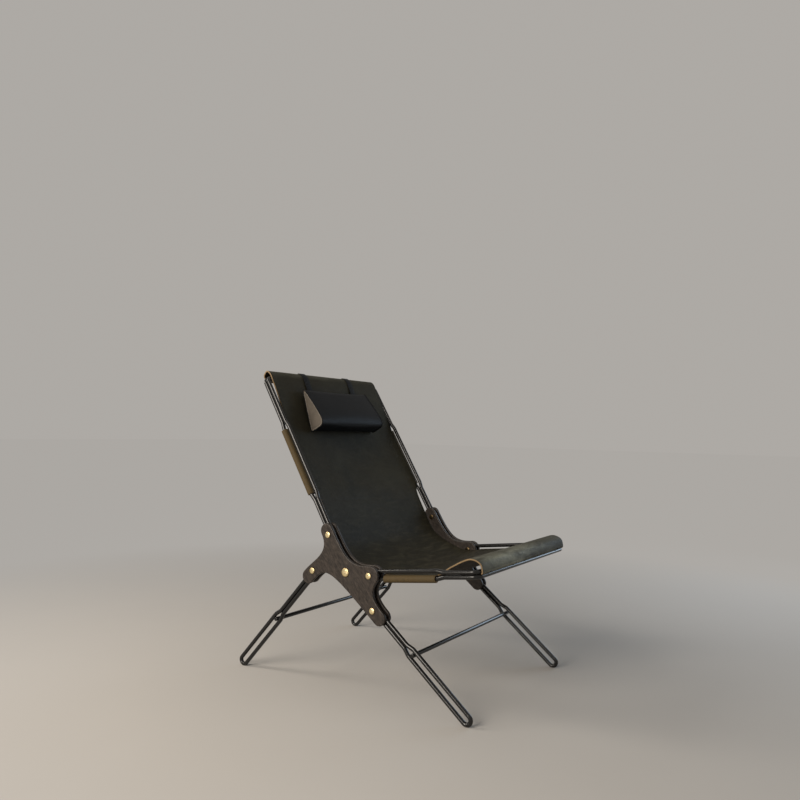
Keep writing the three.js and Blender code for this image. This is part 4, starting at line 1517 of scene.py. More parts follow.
@dataclass
class Sling:
    """One piece of thick leather, hung in the frames by its rolled ends and four side sleeves."""

    lines: Skeleton
    finishes: Finishes
    stitches: StitchTree
    edge_in: float = 10.0 * MM
    waist_in: float = 23.0 * MM
    sag: float = 32.0 * MM
    roll_rise: float = 37.0 * MM
    roll_back: float = 21.0 * MM
    roll_length: float = 80.0 * MM
    hollow_length: float = 60.0 * MM
    hollow_rise: float = 22.0 * MM
    waist_back: float = 11.0 * MM
    crown_rise: float = 22.0 * MM
    crown_length: float = 95.0 * MM
    notch: float = 30.0 * MM
    hook_end: float = 52.0
    flap_meets: float = 256.0 * MM
    flap_end: float = 233.0 * MM
    sewn_at: tuple[float, float] = (240.0 * MM, 248.0 * MM)
    thread_rise: float = 0.15 * MM
    layer_gap: float = 0.25 * MM
    edge_round: float = 0.8 * MM
    # Stops between which the leather has sleeves
    seat_span: tuple[int, int] = (6, 9)
    back_span: tuple[int, int] = (15, 17)
    # Stops between which it wrinkles, and the sizes of its creases and waves
    wrinkled: tuple[int, int] = (4, 18)
    creased: tuple[int, int] = (9, 15)
    creases: int = 16
    crease_width: tuple[float, float] = (4.0 * MM, 8.0 * MM)
    crease_height: tuple[float, float] = (0.2 * MM, 0.6 * MM)
    wave: float = 0.9 * MM
    ripple: float = 0.35 * MM
    fade: float = 60.0 * MM
    # Middle and width of its marks along the profile and across it, and how strong they are. The bend marks are partly
    # the leather's paling where it bends and partly a painted highlight along the front roll, brightest across its
    # middle; the sleeve mark is partly paling where wrapped and partly painted key light.
    roll_mark: tuple[float, float] = (2.8, 1.0)
    side_mark: tuple[float, float] = (-0.25, 0.6)
    seat_mark: tuple[float, float] = (9.5, 3.6)
    bend_range: tuple[float, float] = (9.0, 70.0)
    rim_range: tuple[float, float] = (0.965, 0.035)
    # Strength of the paling and painted highlight on the roll, the front hook and the crown
    scuff: tuple[float, float, float] = (0.95, 0.8, 0.3)
    least_scuff: float = 0.25
    least_wear: float = 0.3
    # How much of the sleeves' tan shows: their paling where wrapped, and painted key light
    sleeve_rub: float = 0.9
    steps: int = 9
    columns: int = 90
    seed: int = 11
    stops: list[Stop] = field(init=False)
    edge_curve: StopCurve = field(init=False)
    middle_curve: StopCurve = field(init=False)
    grid: np.ndarray = field(init=False)
    normals: np.ndarray = field(init=False)
    length: np.ndarray = field(init=False)

    def __post_init__(self) -> None:
        """Lays out the profile and the panel."""
        self.stops = self._stops()
        edge = [stop.run.point(stop.half, stop.s, stop.o) for stop in self.stops]
        middle = [stop.run.point(0.0, stop.s, stop.o - stop.sag) for stop in self.stops]
        self.edge_curve, self.middle_curve = StopCurve(np.array(edge)), StopCurve(np.array(middle))
        self.grid = np.array([[self.point(place, share) for share in self.shares] for place in self.places])
        self.length = walked(self.grid[:, self.columns // 2])
        self.normals = unit(np.cross(np.gradient(self.grid, axis=1), np.gradient(self.grid, axis=0)))
        self.grid += self.normals * self._wrinkles()[:, :, None]

    @property
    def places(self) -> np.ndarray:
        """Places of the panel's rows along the profile."""
        return np.arange((len(self.stops) - 1) * self.steps + 1) / self.steps

    @property
    def shares(self) -> np.ndarray:
        """Shares of the half width at the panel's columns."""
        return np.linspace(-1.0, 1.0, self.columns + 1)

    def _stops(self) -> list[Stop]:
        """The profile from the front hook to the top hook.

        Returns:
            Its stops.
        """
        lines = self.lines
        seat, back, level, pair, sag = lines.seat, lines.back, lines.tab_level, lines.pair, self.sag
        wide, waist = lines.half - self.edge_in, lines.half - self.waist_in
        hook = lines.half - lines.corner_bend - lines.fit
        front, top = lines.seat_reach, lines.back_reach
        (seat_low, seat_high), (back_low, back_high) = lines.seat_tab, lines.back_tab

        def hooked(run: Run, s: float, o: float, degrees: float, half: float) -> Stop:
            """A stop on the leather's turn round a bar."""
            angle = math.radians(degrees)
            return Stop(run, s + lines.wrap * math.cos(angle), o + lines.wrap * math.sin(angle), 0.0, half)

        return [
            hooked(seat, front, pair / 2.0, -self.hook_end, wide),
            hooked(seat, front, pair / 2.0, -self.hook_end / 2.0, wide),
            hooked(seat, front, pair / 2.0, 8.0, wide),
            Stop(seat, front + lines.wrap / 2.0, self.roll_rise * 0.68, 0.0, wide),
            Stop(seat, front - self.roll_back, self.roll_rise, 0.0, wide),
            Stop(seat, front - self.roll_length, self.roll_rise / 2.0, sag * 0.06, wide),
            Stop(seat, seat_high, level, sag * 0.19, wide),
            Stop(seat, (seat_low + seat_high) / 2.0, level, sag * 0.5, wide),
            Stop(seat, seat_low + self.notch, level, sag * 0.6, wide),
            Stop(seat, seat_low, level, sag * 0.63, waist),
            Stop(seat, 0.0, level, sag * 0.69, waist),
            Stop(seat, -self.hollow_length, self.hollow_rise, sag * 0.75, waist),
            Stop(back, -self.hollow_length * 0.75, -self.waist_back, sag * 0.75, waist),
            Stop(back, self.hollow_length / 2.0, -self.waist_back, sag * 0.75, waist),
            Stop(back, back_low - self.notch, level - lines.leather * 0.75, sag * 0.81, waist),
            Stop(back, back_low, level, sag * 0.88, wide),
            Stop(back, (back_low + back_high) / 2.0, level, sag, wide),
            Stop(back, back_high, level, sag * 0.6, wide),
            Stop(back, top - self.crown_length, lines.rod * 0.64, sag * 0.375, wide),
            Stop(back, top - self.crown_rise * 0.68, pair / 2.0 + lines.wrap, 0.0, wide),
            Stop(back, top + self.crown_rise * 0.45, pair / 2.0 + lines.wrap, 0.0, wide),
            Stop(back, top + self.crown_rise, pair / 2.0, 0.0, wide),
            Stop(back, top + self.crown_rise * 0.64, -pair * 0.9, 0.0, wide),
            hooked(back, top, -pair / 2.0, -86.0, hook),
            hooked(back, top, -pair / 2.0, -90.0 - self.hook_end / 2.0, hook),
            hooked(back, top, -pair / 2.0, -90.0 - self.hook_end, hook),
        ]

    def point(self, place: float, share: float) -> np.ndarray:
        """A point of the leather's middle layer, without wrinkles.

        Args:
            place: the way along the profile.
            share: the share of its half width.

        Returns:
            The point.
        """
        edge, middle = self.edge_curve.at(place), self.middle_curve.at(place)
        point = middle + (edge - middle) * share * share
        point[0] = share * edge[0]
        return point

    def normal(self, place: float, share: float) -> np.ndarray:
        """The direction out of the grain side.

        Args:
            place: the way along the profile.
            share: the share of its half width.

        Returns:
            The direction.
        """
        step = 0.01
        heading = self.point(place + step, share) - self.point(place - step, share)
        sideways = self.point(place, share + step) - self.point(place, share - step)
        return unit(np.cross(sideways, heading))

    def build(self) -> None:
        """Builds the leather and its stitches, and settles them."""
        piece, flat, area = self._leather()
        settle(piece, Body.CHAIR, Slot.SLING, "sling")
        seam = Seam(self.finishes.olive_thread, pitch=4.6 * MM, thickness=0.9 * MM)
        thread = settle(seam.sew("sling_stitches", self._rows(), self.stitches), Body.CHAIR, Slot.SLING)

    def _wrinkles(self) -> np.ndarray:
        """Height of the soft waves and creases of hung leather.

        Returns:
            The height at each point of the panel.
        """
        rng = np.random.default_rng(self.seed)
        share, along = self.shares[None, :], self.length[:, None]
        low, high = (self.length[stop * self.steps] for stop in self.creased)
        height = np.zeros((along.size, share.size))
        for _ in range(self.creases):
            middle = rng.uniform(low - 30.0 * MM, high + 20.0 * MM)
            bow = rng.uniform(-12.0 * MM, 30.0 * MM)
            width = rng.uniform(*self.crease_width)
            reach, centre = rng.uniform(0.25, 0.75), rng.uniform(-0.45, 0.45)
            size = rng.uniform(*self.crease_height) * rng.choice([-1.0, 1.0])
            line = middle + bow * share**2
            height += size * np.exp(-(((along - line) / width) ** 2) - ((share - centre) / reach) ** 4)
        for (i, j), _ in np.ndenumerate(height):
            spot = Vector((float(share[0, j]) * 1.3, float(along[i, 0]) * 5.0, 3.7))
            height[i, j] += self.wave * noise.noise(spot) + self.ripple * noise.noise(spot * 2.7)
        first, last = (self.length[stop * self.steps] for stop in self.wrinkled)
        return height * (1.0 - share**4) * ramp(along, first, self.fade) * ramp(-along, -last, self.fade)

    def _leather(self) -> tuple[Piece, tuple[float, float], float]:
        """The panel and its four sleeves in one sheet, with its thickness.

        Returns:
            The piece, its flat width and length, and its flat area.
        """
        grid, length = self.grid, self.length
        points = list(grid.reshape(-1, 3))
        hide = [(x, v) for v, row in zip(length, grid) for x in row[:, 0]]
        number = np.arange(len(points)).reshape(grid.shape[:2])
        quads = np.stack([number[:-1, :-1], number[:-1, 1:], number[1:, 1:], number[1:, :-1]], 2)
        faces = list(quads.reshape(-1, 4))
        for run, span in ((self.lines.seat, self.seat_span), (self.lines.back, self.back_span)):
            for side in Side:
                column, strip = 0 if side is Side.RIGHT else self.columns, []
                for i in range(span[0] * self.steps, span[1] * self.steps + 1):
                    start = grid[i, column]
                    path = self._sleeve(run, i / self.steps, side)
                    strip.append([number[i, column], *range(len(points), len(points) + len(path))])
                    points += path
                    hide += [(start[0] + side.value * far, length[i]) for far in walked(np.array([start, *path]))[1:]]
                for one, two in zip(strip, strip[1:]):
                    quads = list(zip(one, one[1:], two[1:], two))
                    faces += quads if side is Side.LEFT else [quad[::-1] for quad in quads]
        piece = mesh_piece("sling_leather", points, faces, self.finishes.grain, self.finishes.flesh, self.finishes.edge)
        mesh = piece.data
        self._mark(mesh)
        corners = np.zeros(len(mesh.loops), np.int32)
        mesh.loops.foreach_get("vertex_index", corners)
        mesh.uv_layers.new(name="hide").data.foreach_set("uv", np.array(hide, np.float32)[corners].ravel())
        area = sum(polygon.area for polygon in mesh.polygons)
        thick = piece.modifiers.new("thickness", "SOLIDIFY")
        thick.thickness, thick.offset = self.lines.leather, 0.0
        thick.material_offset, thick.material_offset_rim = 1, 2
        ease = piece.modifiers.new("eased_edge", "BEVEL")
        ease.width, ease.segments, ease.limit_method, ease.angle_limit = self.edge_round, 2, "ANGLE", math.radians(60.0)
        make_plain(piece)
        return piece, (2.0 * max(abs(u) for u, _ in hide), float(length[-1])), area

    def _mark(self, mesh: bpy.types.Mesh) -> None:
        """Marks where the leather bends, with a painted highlight along the front roll, where it is worn, where it
        ends, and where it is wrapped, with painted key light on the sleeves.

        Args:
            mesh: the sheet, whose vertices start with the panel's.
        """
        places, shares = self.places, self.shares
        turn = np.linalg.norm(np.gradient(self.normals[:, self.columns // 2], self.length, axis=0), axis=1)
        roll, front, crown = self.scuff
        ends = [places < self.seat_span[0], places > self.back_span[1]]
        turned = ramp(turn, *self.bend_range) * np.select(ends, [front, crown], 0.0)
        # Painted highlight along the front roll, together with its paling where bent; the next line makes it brightest
        # across the middle
        rolled = roll * hump(places, *self.roll_mark)
        across = self.least_scuff + (1.0 - self.least_scuff) * hump(shares, *self.side_mark)
        worn = self.least_wear + (1.0 - self.least_wear) * hump(places, *self.seat_mark)
        rim = ramp(np.abs(shares), *self.rim_range)
        every_row, every_column = np.ones(places.size), np.ones(shares.size)
        # Values on the panel's rows and columns, and on the sleeves
        marks = {
            "bend": (np.maximum(turned, rolled), across, 0.0),
            "wear": (worn, every_column, self.least_wear),
            "edge": (every_row, rim, 0.0),
            "sleeve": (0.0 * every_row, every_column, self.sleeve_rub),
        }
        for word, (rows, columns, wrapped) in marks.items():
            values = np.full(len(mesh.vertices), wrapped)
            values[:places.size * shares.size] = np.outer(rows, columns).ravel()
            set_attribute(mesh, word, values)

    def _sleeve(self, run: Run, place: float, side: Side) -> list[np.ndarray]:
        """One row of a side sleeve: out between the rods, round the outer one, and back under the panel.

        Args:
            run: the rods' line.
            place: the row's place along the profile.
            side: which side.

        Returns:
            Its points, from the panel's edge on.
        """
        lines = self.lines
        edge, middle = self.edge_curve.at(place), self.middle_curve.at(place)
        s, o = run.measure(edge[1:])
        sag = o - run.measure(middle[1:])[1]
        rod_o = -lines.eye / 2.0
        lowest = rod_o - lines.wrap
        spots = [(edge[0] + (lines.half - edge[0]) * k / 3.0, o + (lines.tab_level - o) * k / 3.0) for k in (1, 2)]
        for angle in np.linspace(QUARTER_TURN, -QUARTER_TURN, 17):
            spots.append((lines.half + lines.wrap * math.cos(angle), rod_o + lines.wrap * math.sin(angle)))
        for x in np.linspace(lines.half, self.flap_end, 12)[1:]:
            under = o - sag * (1.0 - (x / edge[0]) ** 2) - lines.leather - self.layer_gap
            rise = eased(min((lines.half - x) / (lines.half - self.flap_meets), 1.0))
            spots.append((x, lowest + (under - lowest) * rise))
        return [run.point(side.value * x, s, spot_o) for x, spot_o in spots]

    def _rows(self) -> list[StitchRow]:
        """Two rows of stitches along each sleeve's flap, on both faces of the leather.

        Returns:
            The rows.
        """
        faces = ((self.lines.leather / 2.0, 1.0), (-1.5 * self.lines.leather - self.layer_gap, -1.0))
        return [
            self._row(span, side.value * x, level + way * self.thread_rise, way)
            for span in (self.seat_span, self.back_span)
            for side in Side
            for x in self.sewn_at
            for level, way in faces
        ]

    def _row(self, span: tuple[int, int], x: float, level: float, way: float) -> StitchRow:
        """One row of stitches.

        Args:
            span: the stops between which it runs.
            x: its place across the chair.
            level: its height over the leather's middle layer.
            way: 1 on the grain side and -1 under the flap.

        Returns:
            The row.
        """
        line, face = [], []
        for i in range(span[0] * self.steps + 1, span[1] * self.steps):
            column = (x / self.edge_curve.at(i / self.steps)[0] + 1.0) / 2.0 * self.columns
            j = min(int(column), self.columns - 1)
            t = column - j
            normal = unit(self.normals[i, j] * (1.0 - t) + self.normals[i, j + 1] * t)
            line.append(self.grid[i, j] * (1.0 - t) + self.grid[i, j + 1] * t + normal * level)
            face.append(normal * way)
        return StitchRow(np.array(line), np.array(face))


# Headrest


@dataclass
class Headrest:
    """A wedge-shaped leather bolster with stitched end panels."""

    lines: Skeleton
    sling: Sling
    finishes: Finishes
    stitches: StitchTree
    length: float = 330.0 * MM
    tall: float = 144.0 * MM
    deep: float = 53.0 * MM
    tilt: float = 14.0
    gap: float = 2.0 * MM
    drop: float = 7.0 * MM
    edge: float = 6.0 * MM
    piping: float = 1.8 * MM
    piping_sides: int = 10
    swell: float = 5.0 * MM
    end_swell: float = 2.5 * MM
    back_swell: float = 1.0 * MM
    slack: float = 0.005
    slack_power: int = 12
    hub: tuple[float, float] = (0.36, 0.42)
    seam_crease: float = 0.8
    sewn_in: float = 0.9
    thread_rise: float = 0.5 * MM
    curve_steps: int = 40
    pressure: float = 4.0
    frames: int = 20
    around: int = 144
    stations: int = 60
    cap_rings: int = 10
    run: Run = field(init=False)

    def __post_init__(self) -> None:
        """Sets the bolster's own line."""
        lines, sling = self.lines, self.sling
        share = self.length / 2.0 / (lines.half - sling.edge_in)
        sag = sling.stops[sling.back_span[1]].sag * (1.0 - share**2)
        rest = lines.tab_level - sag + lines.leather / 2.0 + self.gap
        self.run = Run(lines.back.at(lines.back_tab[1] - self.drop, rest), lines.back.degrees + self.tilt)

    def outline(self) -> np.ndarray:
        """The wedge's outline, evenly stepped.

        Returns:
            Points (s, o).
        """
        tall, nose, edge = self.tall, self.deep, self.edge
        top = tall - edge * 0.67
        brow, chin = (nose * 0.64, nose * 0.97), (nose * 0.18, nose * 0.7)
        curves = (
            ((edge, 0.0), (top, 0.0)),
            ((top, 0.0), (tall + edge / 6.0, edge / 3.0), (top, edge * 1.33)),
            ((top, edge * 1.33), (tall * 0.68, nose * 0.49), (tall * 0.42, nose * 0.85), brow),
            (brow, (nose * 0.42, nose * 1.02), (nose * 0.24, nose * 0.96), chin),
            (chin, (0.0, 0.0), (edge, 0.0)),
        )
        places = np.linspace(0.0, 1.0, self.curve_steps, endpoint=False)
        line = np.concatenate([bezier(curve, places) for curve in curves] + [[curves[0][0]]])
        far = walked(line)
        even = np.linspace(0.0, far[-1], self.around, endpoint=False)
        return np.stack([np.interp(even, far, line[:, k]) for k in (0, 1)], 1)

    def build(self) -> None:
        """Builds the bolster, its piping and its stitches, and settles them."""
        piece, seams, sewn = self._cover()
        settle(piece, Body.HEADREST, Slot.HEADREST, "headrest")
        points, faces = [], []
        for seam in seams:
            verts, quads = tube(seam, self.piping, self.piping_sides)
            faces += [tuple(n + len(points) for n in quad) for quad in quads]
            points += list(verts)
        settle(mesh_piece("headrest_piping", points, faces, self.finishes.black), Body.HEADREST, Slot.HEADREST)
        seam = Seam(self.finishes.grey_thread, pitch=4.0 * MM, thickness=1.1 * MM)
        settle(seam.sew("headrest_stitches", sewn, self.stitches), Body.HEADREST, Slot.HEADREST)

    def _cover(self) -> tuple[Piece, list[np.ndarray], list[StitchRow]]:
        """The stuffed cover.

        Returns:
            The cover, the line of each end seam, and the stitch rows inside the seams.
        """
        outline = self.outline()
        middle = np.array([self.tall, self.deep]) * self.hub
        count, half = self.around, self.length / 2.0 - self.piping
        caps = [k / self.cap_rings for k in range(1, self.cap_rings)]
        stations = np.linspace(-1.0, 1.0, self.stations + 1)
        body = [(half * place, 1.0 - self.slack * (1.0 - abs(place) ** self.slack_power)) for place in stations]
        layers = [*((-half, size) for size in caps), *body, *((half, size) for size in caps[::-1])]
        points = [self.run.point(x, *(middle + (p - middle) * size)) for x, size in layers for p in outline]
        faces = ring_faces(len(layers), count)
        for x, ring in ((-half, 0), (half, len(layers) - 1)):
            faces += [(len(points), ring * count + (k + 1) % count, ring * count + k) for k in range(count)]
            points.append(self.run.point(x, *middle))
        # The end panels take the paler copy of the black leather, which paints the key light on them
        piece = mesh_piece("headrest_cover", points, faces, self.finishes.black, self.finishes.end)
        seams = (self.cap_rings - 1, self.cap_rings - 1 + self.stations)
        wrapped = range(seams[0] * count, seams[1] * count)
        piece.data.polygons.foreach_set("material_index", [0 if k in wrapped else 1 for k in range(len(faces))])
        outwards(piece)
        pinned = {layer * count + k for layer in seams for k in range(count)}
        self._inflate(piece, sorted(pinned))
        spots = np.array([v.co for v in piece.data.vertices])[:len(layers) * count].reshape(len(layers), count, 3)
        rows = []
        for layer, way in zip(seams, (-1, 1)):
            out = np.array([float(way), 0.0, 0.0])
            line = spots[layer] + (spots[layer + way] - spots[layer]) * self.sewn_in + out * self.thread_rise
            rows.append(StitchRow(line, np.tile(out, (count, 1)), True))
        crease = piece.data.attributes.new("crease_edge", "FLOAT", "EDGE")
        held = [self.seam_crease if pinned.issuperset(edge.vertices) else 0.0 for edge in piece.data.edges]
        crease.data.foreach_set("value", held)
        smooth = piece.modifiers.new("smooth", "SUBSURF")
        smooth.levels = smooth.render_levels = 1
        make_plain(piece)
        return piece, [spots[layer] for layer in seams], rows

    def _inflate(self, piece: Piece, pinned: list[int]) -> None:
        """Stuffs the cover by a short cloth simulation with its seams held.

        Args:
            piece: the cover.
            pinned: vertices of the seams.
        """
        start = np.array([v.co for v in piece.data.vertices])
        piece.vertex_groups.new(name="seams").add(pinned, 1.0, "REPLACE")
        cloth = piece.modifiers.new("stuffing", "CLOTH")
        for name, value in {
            "quality": 6, "mass": 0.35, "tension_stiffness": 18.0, "compression_stiffness": 18.0,
            "bending_stiffness": 2.0, "use_pressure": True, "uniform_pressure_force": self.pressure,
            "vertex_group_mass": "seams",
        }.items():
            setattr(cloth.settings, name, value)
        cloth.settings.effector_weights.gravity = 0.0
        cloth.point_cache.frame_start, cloth.point_cache.frame_end = 1, self.frames
        scene = bpy.context.scene
        for frame in range(1, self.frames + 1):
            scene.frame_set(frame)
        graph = bpy.context.evaluated_depsgraph_get()
        shift = np.array([v.co for v in piece.evaluated_get(graph).data.vertices]) - start
        piece.modifiers.clear()
        piece.vertex_groups.clear()
        scene.frame_set(1)
        size = np.linalg.norm(shift, axis=1, keepdims=True)
        shift *= np.minimum(1.0, self.swell / np.maximum(size, 1e-9))
        across = np.array([0.0, *self.run.across])
        back = shift @ across
        shift += np.outer(np.maximum(back, -self.back_swell) - back, across)
        shift[:, 0] = np.clip(shift[:, 0], -self.end_swell, self.end_swell)
        piece.data.vertices.foreach_set("co", (start + shift).astype(np.float32).ravel())
        piece.data.update()


@dataclass
class Straps:
    """Two flat straps from the headrest over the top roll to the counterweight."""

    lines: Skeleton
    sling: Sling
    headrest: Headrest
    finish: Material
    width: float = 26.0 * MM
    thick: float = 2.4 * MM
    inset: float = 49.0 * MM
    tuck: float = 5.0 * MM
    grip: float = 85.0 * MM
    sunk: float = 1.44 * MM
    crown: tuple[int, int] = (19, 23)
    crown_steps: int = 10
    bow_steps: int = 18
    bow_reach: float = 0.9

    def build(self) -> None:
        """Builds each strap in three runs, and puts the top run on the chair."""
        lines, sling, rest = self.lines, self.sling, self.headrest
        apart = rest.length / 2.0 - self.inset
        share = apart / (lines.half - sling.edge_in)
        lift = lines.leather / 2.0 + lines.fit + self.thick / 2.0
        places = np.linspace(*self.crown, (self.crown[1] - self.crown[0]) * self.crown_steps + 1)
        crown = np.array([sling.point(p, share) + sling.normal(p, share) * lift for p in places])[:, 1:]
        crown = crown[:int(np.argmax(crown[:, 0])) + 1]
        top = rest.run.at(self.grip, -self.sunk)
        front = self._bow(top, crown[0], unit(crown[0] - top), unit(crown[1] - crown[0]))
        low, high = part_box("counterweight")
        hang = np.array([(low.y + high.y) / 2.0, high.z - self.tuck])
        rear = self._bow(crown[-1], hang, unit(crown[-1] - crown[-2]), np.array([0.0, -1.0]))
        chair = Body.CHAIR.value
        for side in Side:
            x, node = side.value * apart, f"{side.word}_strap"
            runs = {"front": front, "top": crown, "rear": rear}
            pieces = {word: self._strip(f"{node}_{word}", x, path) for word, path in runs.items()}
            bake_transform(pieces["front"])
            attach(pieces["top"], chair)
            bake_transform(pieces["rear"])
            for piece in pieces.values():
                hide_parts(node)
                LOG.info("%s: %d faces", piece.name, len(piece.data.polygons))

    def _bow(self, start: np.ndarray, end: np.ndarray, leave: np.ndarray, arrive: np.ndarray) -> np.ndarray:
        """A smooth line between two points with given directions.

        Args:
            start: its first point.
            end: its last point.
            leave: its direction at the start.
            arrive: its direction at the end.

        Returns:
            Its points.
        """
        pull = float(np.linalg.norm(end - start)) * self.bow_reach / 3.0
        places = np.linspace(0.0, 1.0, self.bow_steps + 1)
        return bezier((start, start + leave * pull, end - arrive * pull, end), places)

    def _strip(self, name: str, x: float, path: np.ndarray) -> Piece:
        """A flat strip with round edges along a line in the side view.

        Args:
            name: the piece's name.
            x: its middle.
            path: points (y, z).

        Returns:
            The strip.
        """
        half, thick = self.width / 2.0, self.thick / 2.0
        turn = np.linspace(-QUARTER_TURN, QUARTER_TURN, 7)
        section = [(half - thick + thick * math.cos(a), thick * math.sin(a)) for a in turn]
        section += [(-u, -v) for u, v in section]
        headings = unit(np.gradient(path, axis=0))
        points = [(x + u, y - tz * v, z + ty * v) for (y, z), (ty, tz) in zip(path, headings) for u, v in section]
        piece = mesh_piece(name, points, capped_faces(len(path), len(section)), self.finish)
        outwards(piece)
        return piece


@dataclass
class Counterweight:
    """An iron bar sewn into a flat leather sleeve."""

    finishes: Finishes
    stitches: StitchTree
    border: float = 5.6 * MM
    shoulder: float = 6.3 * MM
    sewn_in: float = 3.85 * MM
    lip: float = 3.0 * MM
    lip_round: float = 1.5 * MM
    thread_rise: float = 0.1 * MM
    columns: int = 90
    rows: int = 28

    def build(self) -> None:
        """Builds the sleeve and its stitches, and settles them."""
        low, high = (np.array(corner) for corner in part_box("counterweight"))
        middle, size = (low + high) / 2.0, (high - low) / 2.0
        points, faces = self._halves(middle, size)
        piece = mesh_piece("counterweight_sleeve", points, faces, self.finishes.black)
        outwards(piece)
        settle(piece, Body.WEIGHT, Slot.WEIGHT, "counterweight")
        corners = np.array([(-1.0, -1.0), (1.0, -1.0), (1.0, 1.0), (-1.0, 1.0)])
        reach = np.array([size[0] - self.sewn_in, self.lip / 2.0 + self.thread_rise, size[2] - self.sewn_in])
        rows = [
            StitchRow(middle + np.insert(corners, 1, way, 1) * reach, np.tile([0.0, way, 0.0], (4, 1)), True)
            for way in (-1.0, 1.0)
        ]
        seam = Seam(self.finishes.olive_thread, pitch=4.0 * MM, thickness=0.8 * MM)
        settle(seam.sew("counterweight_stitches", rows, self.stitches), Body.WEIGHT, Slot.WEIGHT)

    def _halves(self, middle: np.ndarray, size: np.ndarray) -> tuple[list[np.ndarray], Faces]:
        """The sleeve's two halves, joined at the rim.

        Args:
            middle: the sleeve's middle.
            size: half its size along each axis.

        Returns:
            Its points and faces.
        """
        points, faces, number = [], [], {}
        for way in (-1, 1):
            for j, v in enumerate(np.linspace(-1.0, 1.0, self.rows + 1)):
                for i, u in enumerate(np.linspace(-1.0, 1.0, self.columns + 1)):
                    rim = i in (0, self.columns) or j in (0, self.rows)
                    if rim and way > 0:
                        number[way, i, j] = number[-way, i, j]
                        continue
                    inset = min((1.0 - abs(u)) * size[0], (1.0 - abs(v)) * size[2])
                    rise = eased(ramp(inset, self.border, self.shoulder))
                    lip = self.lip / 2.0 * math.sqrt(min(inset / self.lip_round, 1.0))
                    thick = lip + (size[1] - self.lip / 2.0) * rise
                    number[way, i, j] = len(points)
                    points.append(middle + np.array([u * size[0], 0.0 if rim else way * thick, v * size[2]]))
            for j in range(self.rows):
                for i in range(self.columns):
                    quad = [number[way, i + a, j + b] for a, b in ((0, 0), (1, 0), (1, 1), (0, 1))]
                    faces.append(tuple(quad if way < 0 else quad[::-1]))
        return points, faces


# Studio


@dataclass(frozen=True)
class Lamp:
    """A large soft lamp."""

    name: str
    at: Triple
    size: tuple[float, float]
    power: float
    colour: Colour

    def build(self, aim: Triple) -> None:
        """Builds the lamp.

        Args:
            aim: the point that it faces.
        """
        data = bpy.data.lights.new(self.name, "AREA")
        data.shape, data.size, data.size_y = "RECTANGLE", *self.size
        data.energy, data.color = self.power, self.colour
        lamp = bpy.data.objects.new(self.name, data)
        lamp.location = self.at
        lamp.rotation_euler = (Vector(aim) - Vector(self.at)).to_track_quat("-Z", "Y").to_euler()
        lamp.visible_camera = False
        bpy.context.scene.collection.objects.link(lamp)


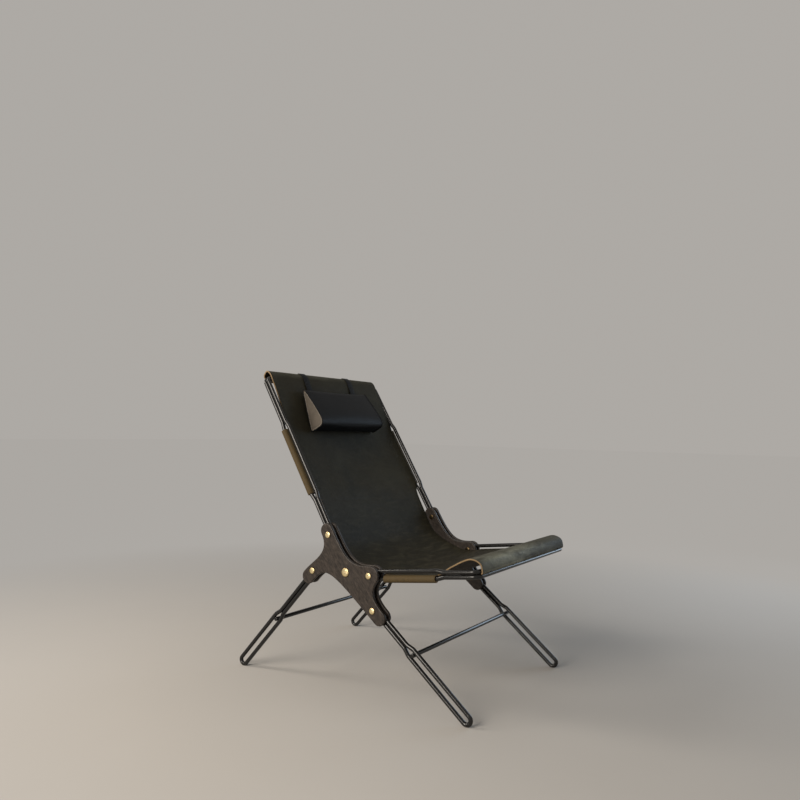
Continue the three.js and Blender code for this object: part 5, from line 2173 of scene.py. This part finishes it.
@dataclass
class Studio:
    """Camera, lights, pale floor and pale surround."""

    camera_at: Triple = (-1.9177, -1.2542, 0.7420)
    right: Triple = (0.55500, -0.83161, 0.02013)
    down: Triple = (0.04537, 0.00611, -0.99895)
    forward: Triple = (0.83061, 0.55533, 0.04112)
    lens: float = 32.445
    floor_colour: Colour = (0.50, 0.478, 0.45)
    floor_shade: float = 0.94
    floor_reach: float = 30.0
    surround: Colour = (0.42, 0.40, 0.375)
    ambient: float = 0.40
    fade: tuple[float, float] = (0.8, 2.6)
    aim: Triple = (0.0, 0.05, 0.42)
    lamps: tuple[Lamp, ...] = (
        Lamp("key", (-3.9, 0.5, 2.0), (2.2, 2.6), 185.0, (1.0, 0.92, 0.82)),
        Lamp("rim", (-1.5, 2.5, 2.1), (0.7, 1.6), 40.0, (1.0, 0.92, 0.82)),
        Lamp("window", (2.7, -1.1, 1.15), (1.2, 1.6), 20.0, (0.62, 0.80, 1.0)),
        Lamp("top", (0.1, 0.0, 2.9), (1.8, 1.8), 5.0, (0.95, 0.97, 1.0)),
    )

    def build(self) -> None:
        """Builds the studio."""
        self._camera()
        for lamp in self.lamps:
            lamp.build(self.aim)
        self._floor()
        self._world()
        bpy.context.scene.view_settings.view_transform = "Standard"

    def _camera(self) -> None:
        """A camera at the photograph's place."""
        data = bpy.data.cameras.new("camera")
        data.lens, data.sensor_width, data.sensor_fit = self.lens, 36.0, "HORIZONTAL"
        camera = bpy.data.objects.new("camera", data)
        turn = Matrix((self.right, -Vector(self.down), -Vector(self.forward))).transposed()
        camera.matrix_world = Matrix.Translation(self.camera_at) @ turn.to_4x4()
        bpy.context.scene.collection.objects.link(camera)
        bpy.context.scene.camera = camera

    @staticmethod
    def _seen(nodes: Nodes) -> Socket:
        """1 for rays from the camera, and for reflected and passed ones.

        Args:
            nodes: the tree that asks.

        Returns:
            The answer.
        """
        path = nodes.add("ShaderNodeLightPath").outputs
        seen = nodes.math("MAXIMUM", path["Is Camera Ray"], path["Is Transmission Ray"])
        return nodes.math("MAXIMUM", seen, path["Is Glossy Ray"])

    def _floor(self) -> None:
        """A wide pale floor that runs out into the surround."""
        material, nodes, shader, spot = start_material("studio_floor")
        shade = tuple(c * self.floor_shade for c in self.floor_colour)
        cloudy = nodes.mix(nodes.noise(spot, 1.6, 4.0, 0.6), self.floor_colour, shade)
        nodes.feed(shader, {"Base Color": cloudy, "Roughness": 0.85, "Specular IOR Level": 0.2})
        away = nodes.add("ShaderNodeVectorMath", {0: spot}, operation="LENGTH").outputs["Value"]
        gone = nodes.math("SMOOTH_MIN", nodes.remap(away, 0.0, 1.0, *self.fade), 1.0, 0.2)
        glow = nodes.add("ShaderNodeEmission", {"Color": (*self.surround, 1.0)})
        ends = {0: nodes.times(gone, self._seen(nodes)), 1: shader.outputs[0], 2: glow.outputs[0]}
        both = nodes.add("ShaderNodeMixShader", ends)
        nodes.feed(nodes.tree.nodes["Material Output"], {"Surface": both.outputs[0]})
        square = [(a * self.floor_reach, b * self.floor_reach, 0.0) for a, b in ((-1, -1), (1, -1), (1, 1), (-1, 1))]
        mesh_piece("studio_floor", square, [(0, 1, 2, 3)], material)

    def _world(self) -> None:
        """A pale surround for the camera and for reflections, and a softer light from it."""
        world = bpy.data.worlds.new("studio")
        world.use_nodes = True
        nodes = Nodes(world.node_tree)
        strength = nodes.remap(self._seen(nodes), self.ambient, 1.0)
        nodes.feed(nodes.tree.nodes["Background"], {"Color": (*self.surround, 1.0), "Strength": strength})
        bpy.context.scene.world = world


def dress_kept_nodes(nodes: dict[str, Piece], finishes: Finishes) -> None:
    """Gives the frame's own shown solids their finish.

    Args:
        nodes: the frame's objects by name.
        finishes: the chair's materials.
    """
    for side in Side:
        node = nodes[f"{side.word}_spacer"]
        node.data.materials.clear()
        node.data.materials.append(finishes.rod)
        LOG.info("%s: kept", node.name)


def main() -> None:
    """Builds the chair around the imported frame."""
    logging.basicConfig(level=logging.INFO, format="%(name)s %(message)s")
    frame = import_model()
    Studio().build()
    finishes = Finishes()
    lines = Skeleton.from_frame()
    stitches = StitchTree()
    RodWork(lines, finishes.rod).build()
    CheekPlates(lines, finishes.wood).build()
    Fasteners(lines, finishes, TurnedTree()).build()
    sling = Sling(lines, finishes, stitches)
    sling.build()
    headrest = Headrest(lines, sling, finishes, stitches)
    headrest.build()
    Straps(lines, sling, headrest, finishes.black).build()
    Counterweight(finishes, stitches).build()
    dress_kept_nodes(frame["nodes"], finishes)


if __name__ == "__main__":
    main()
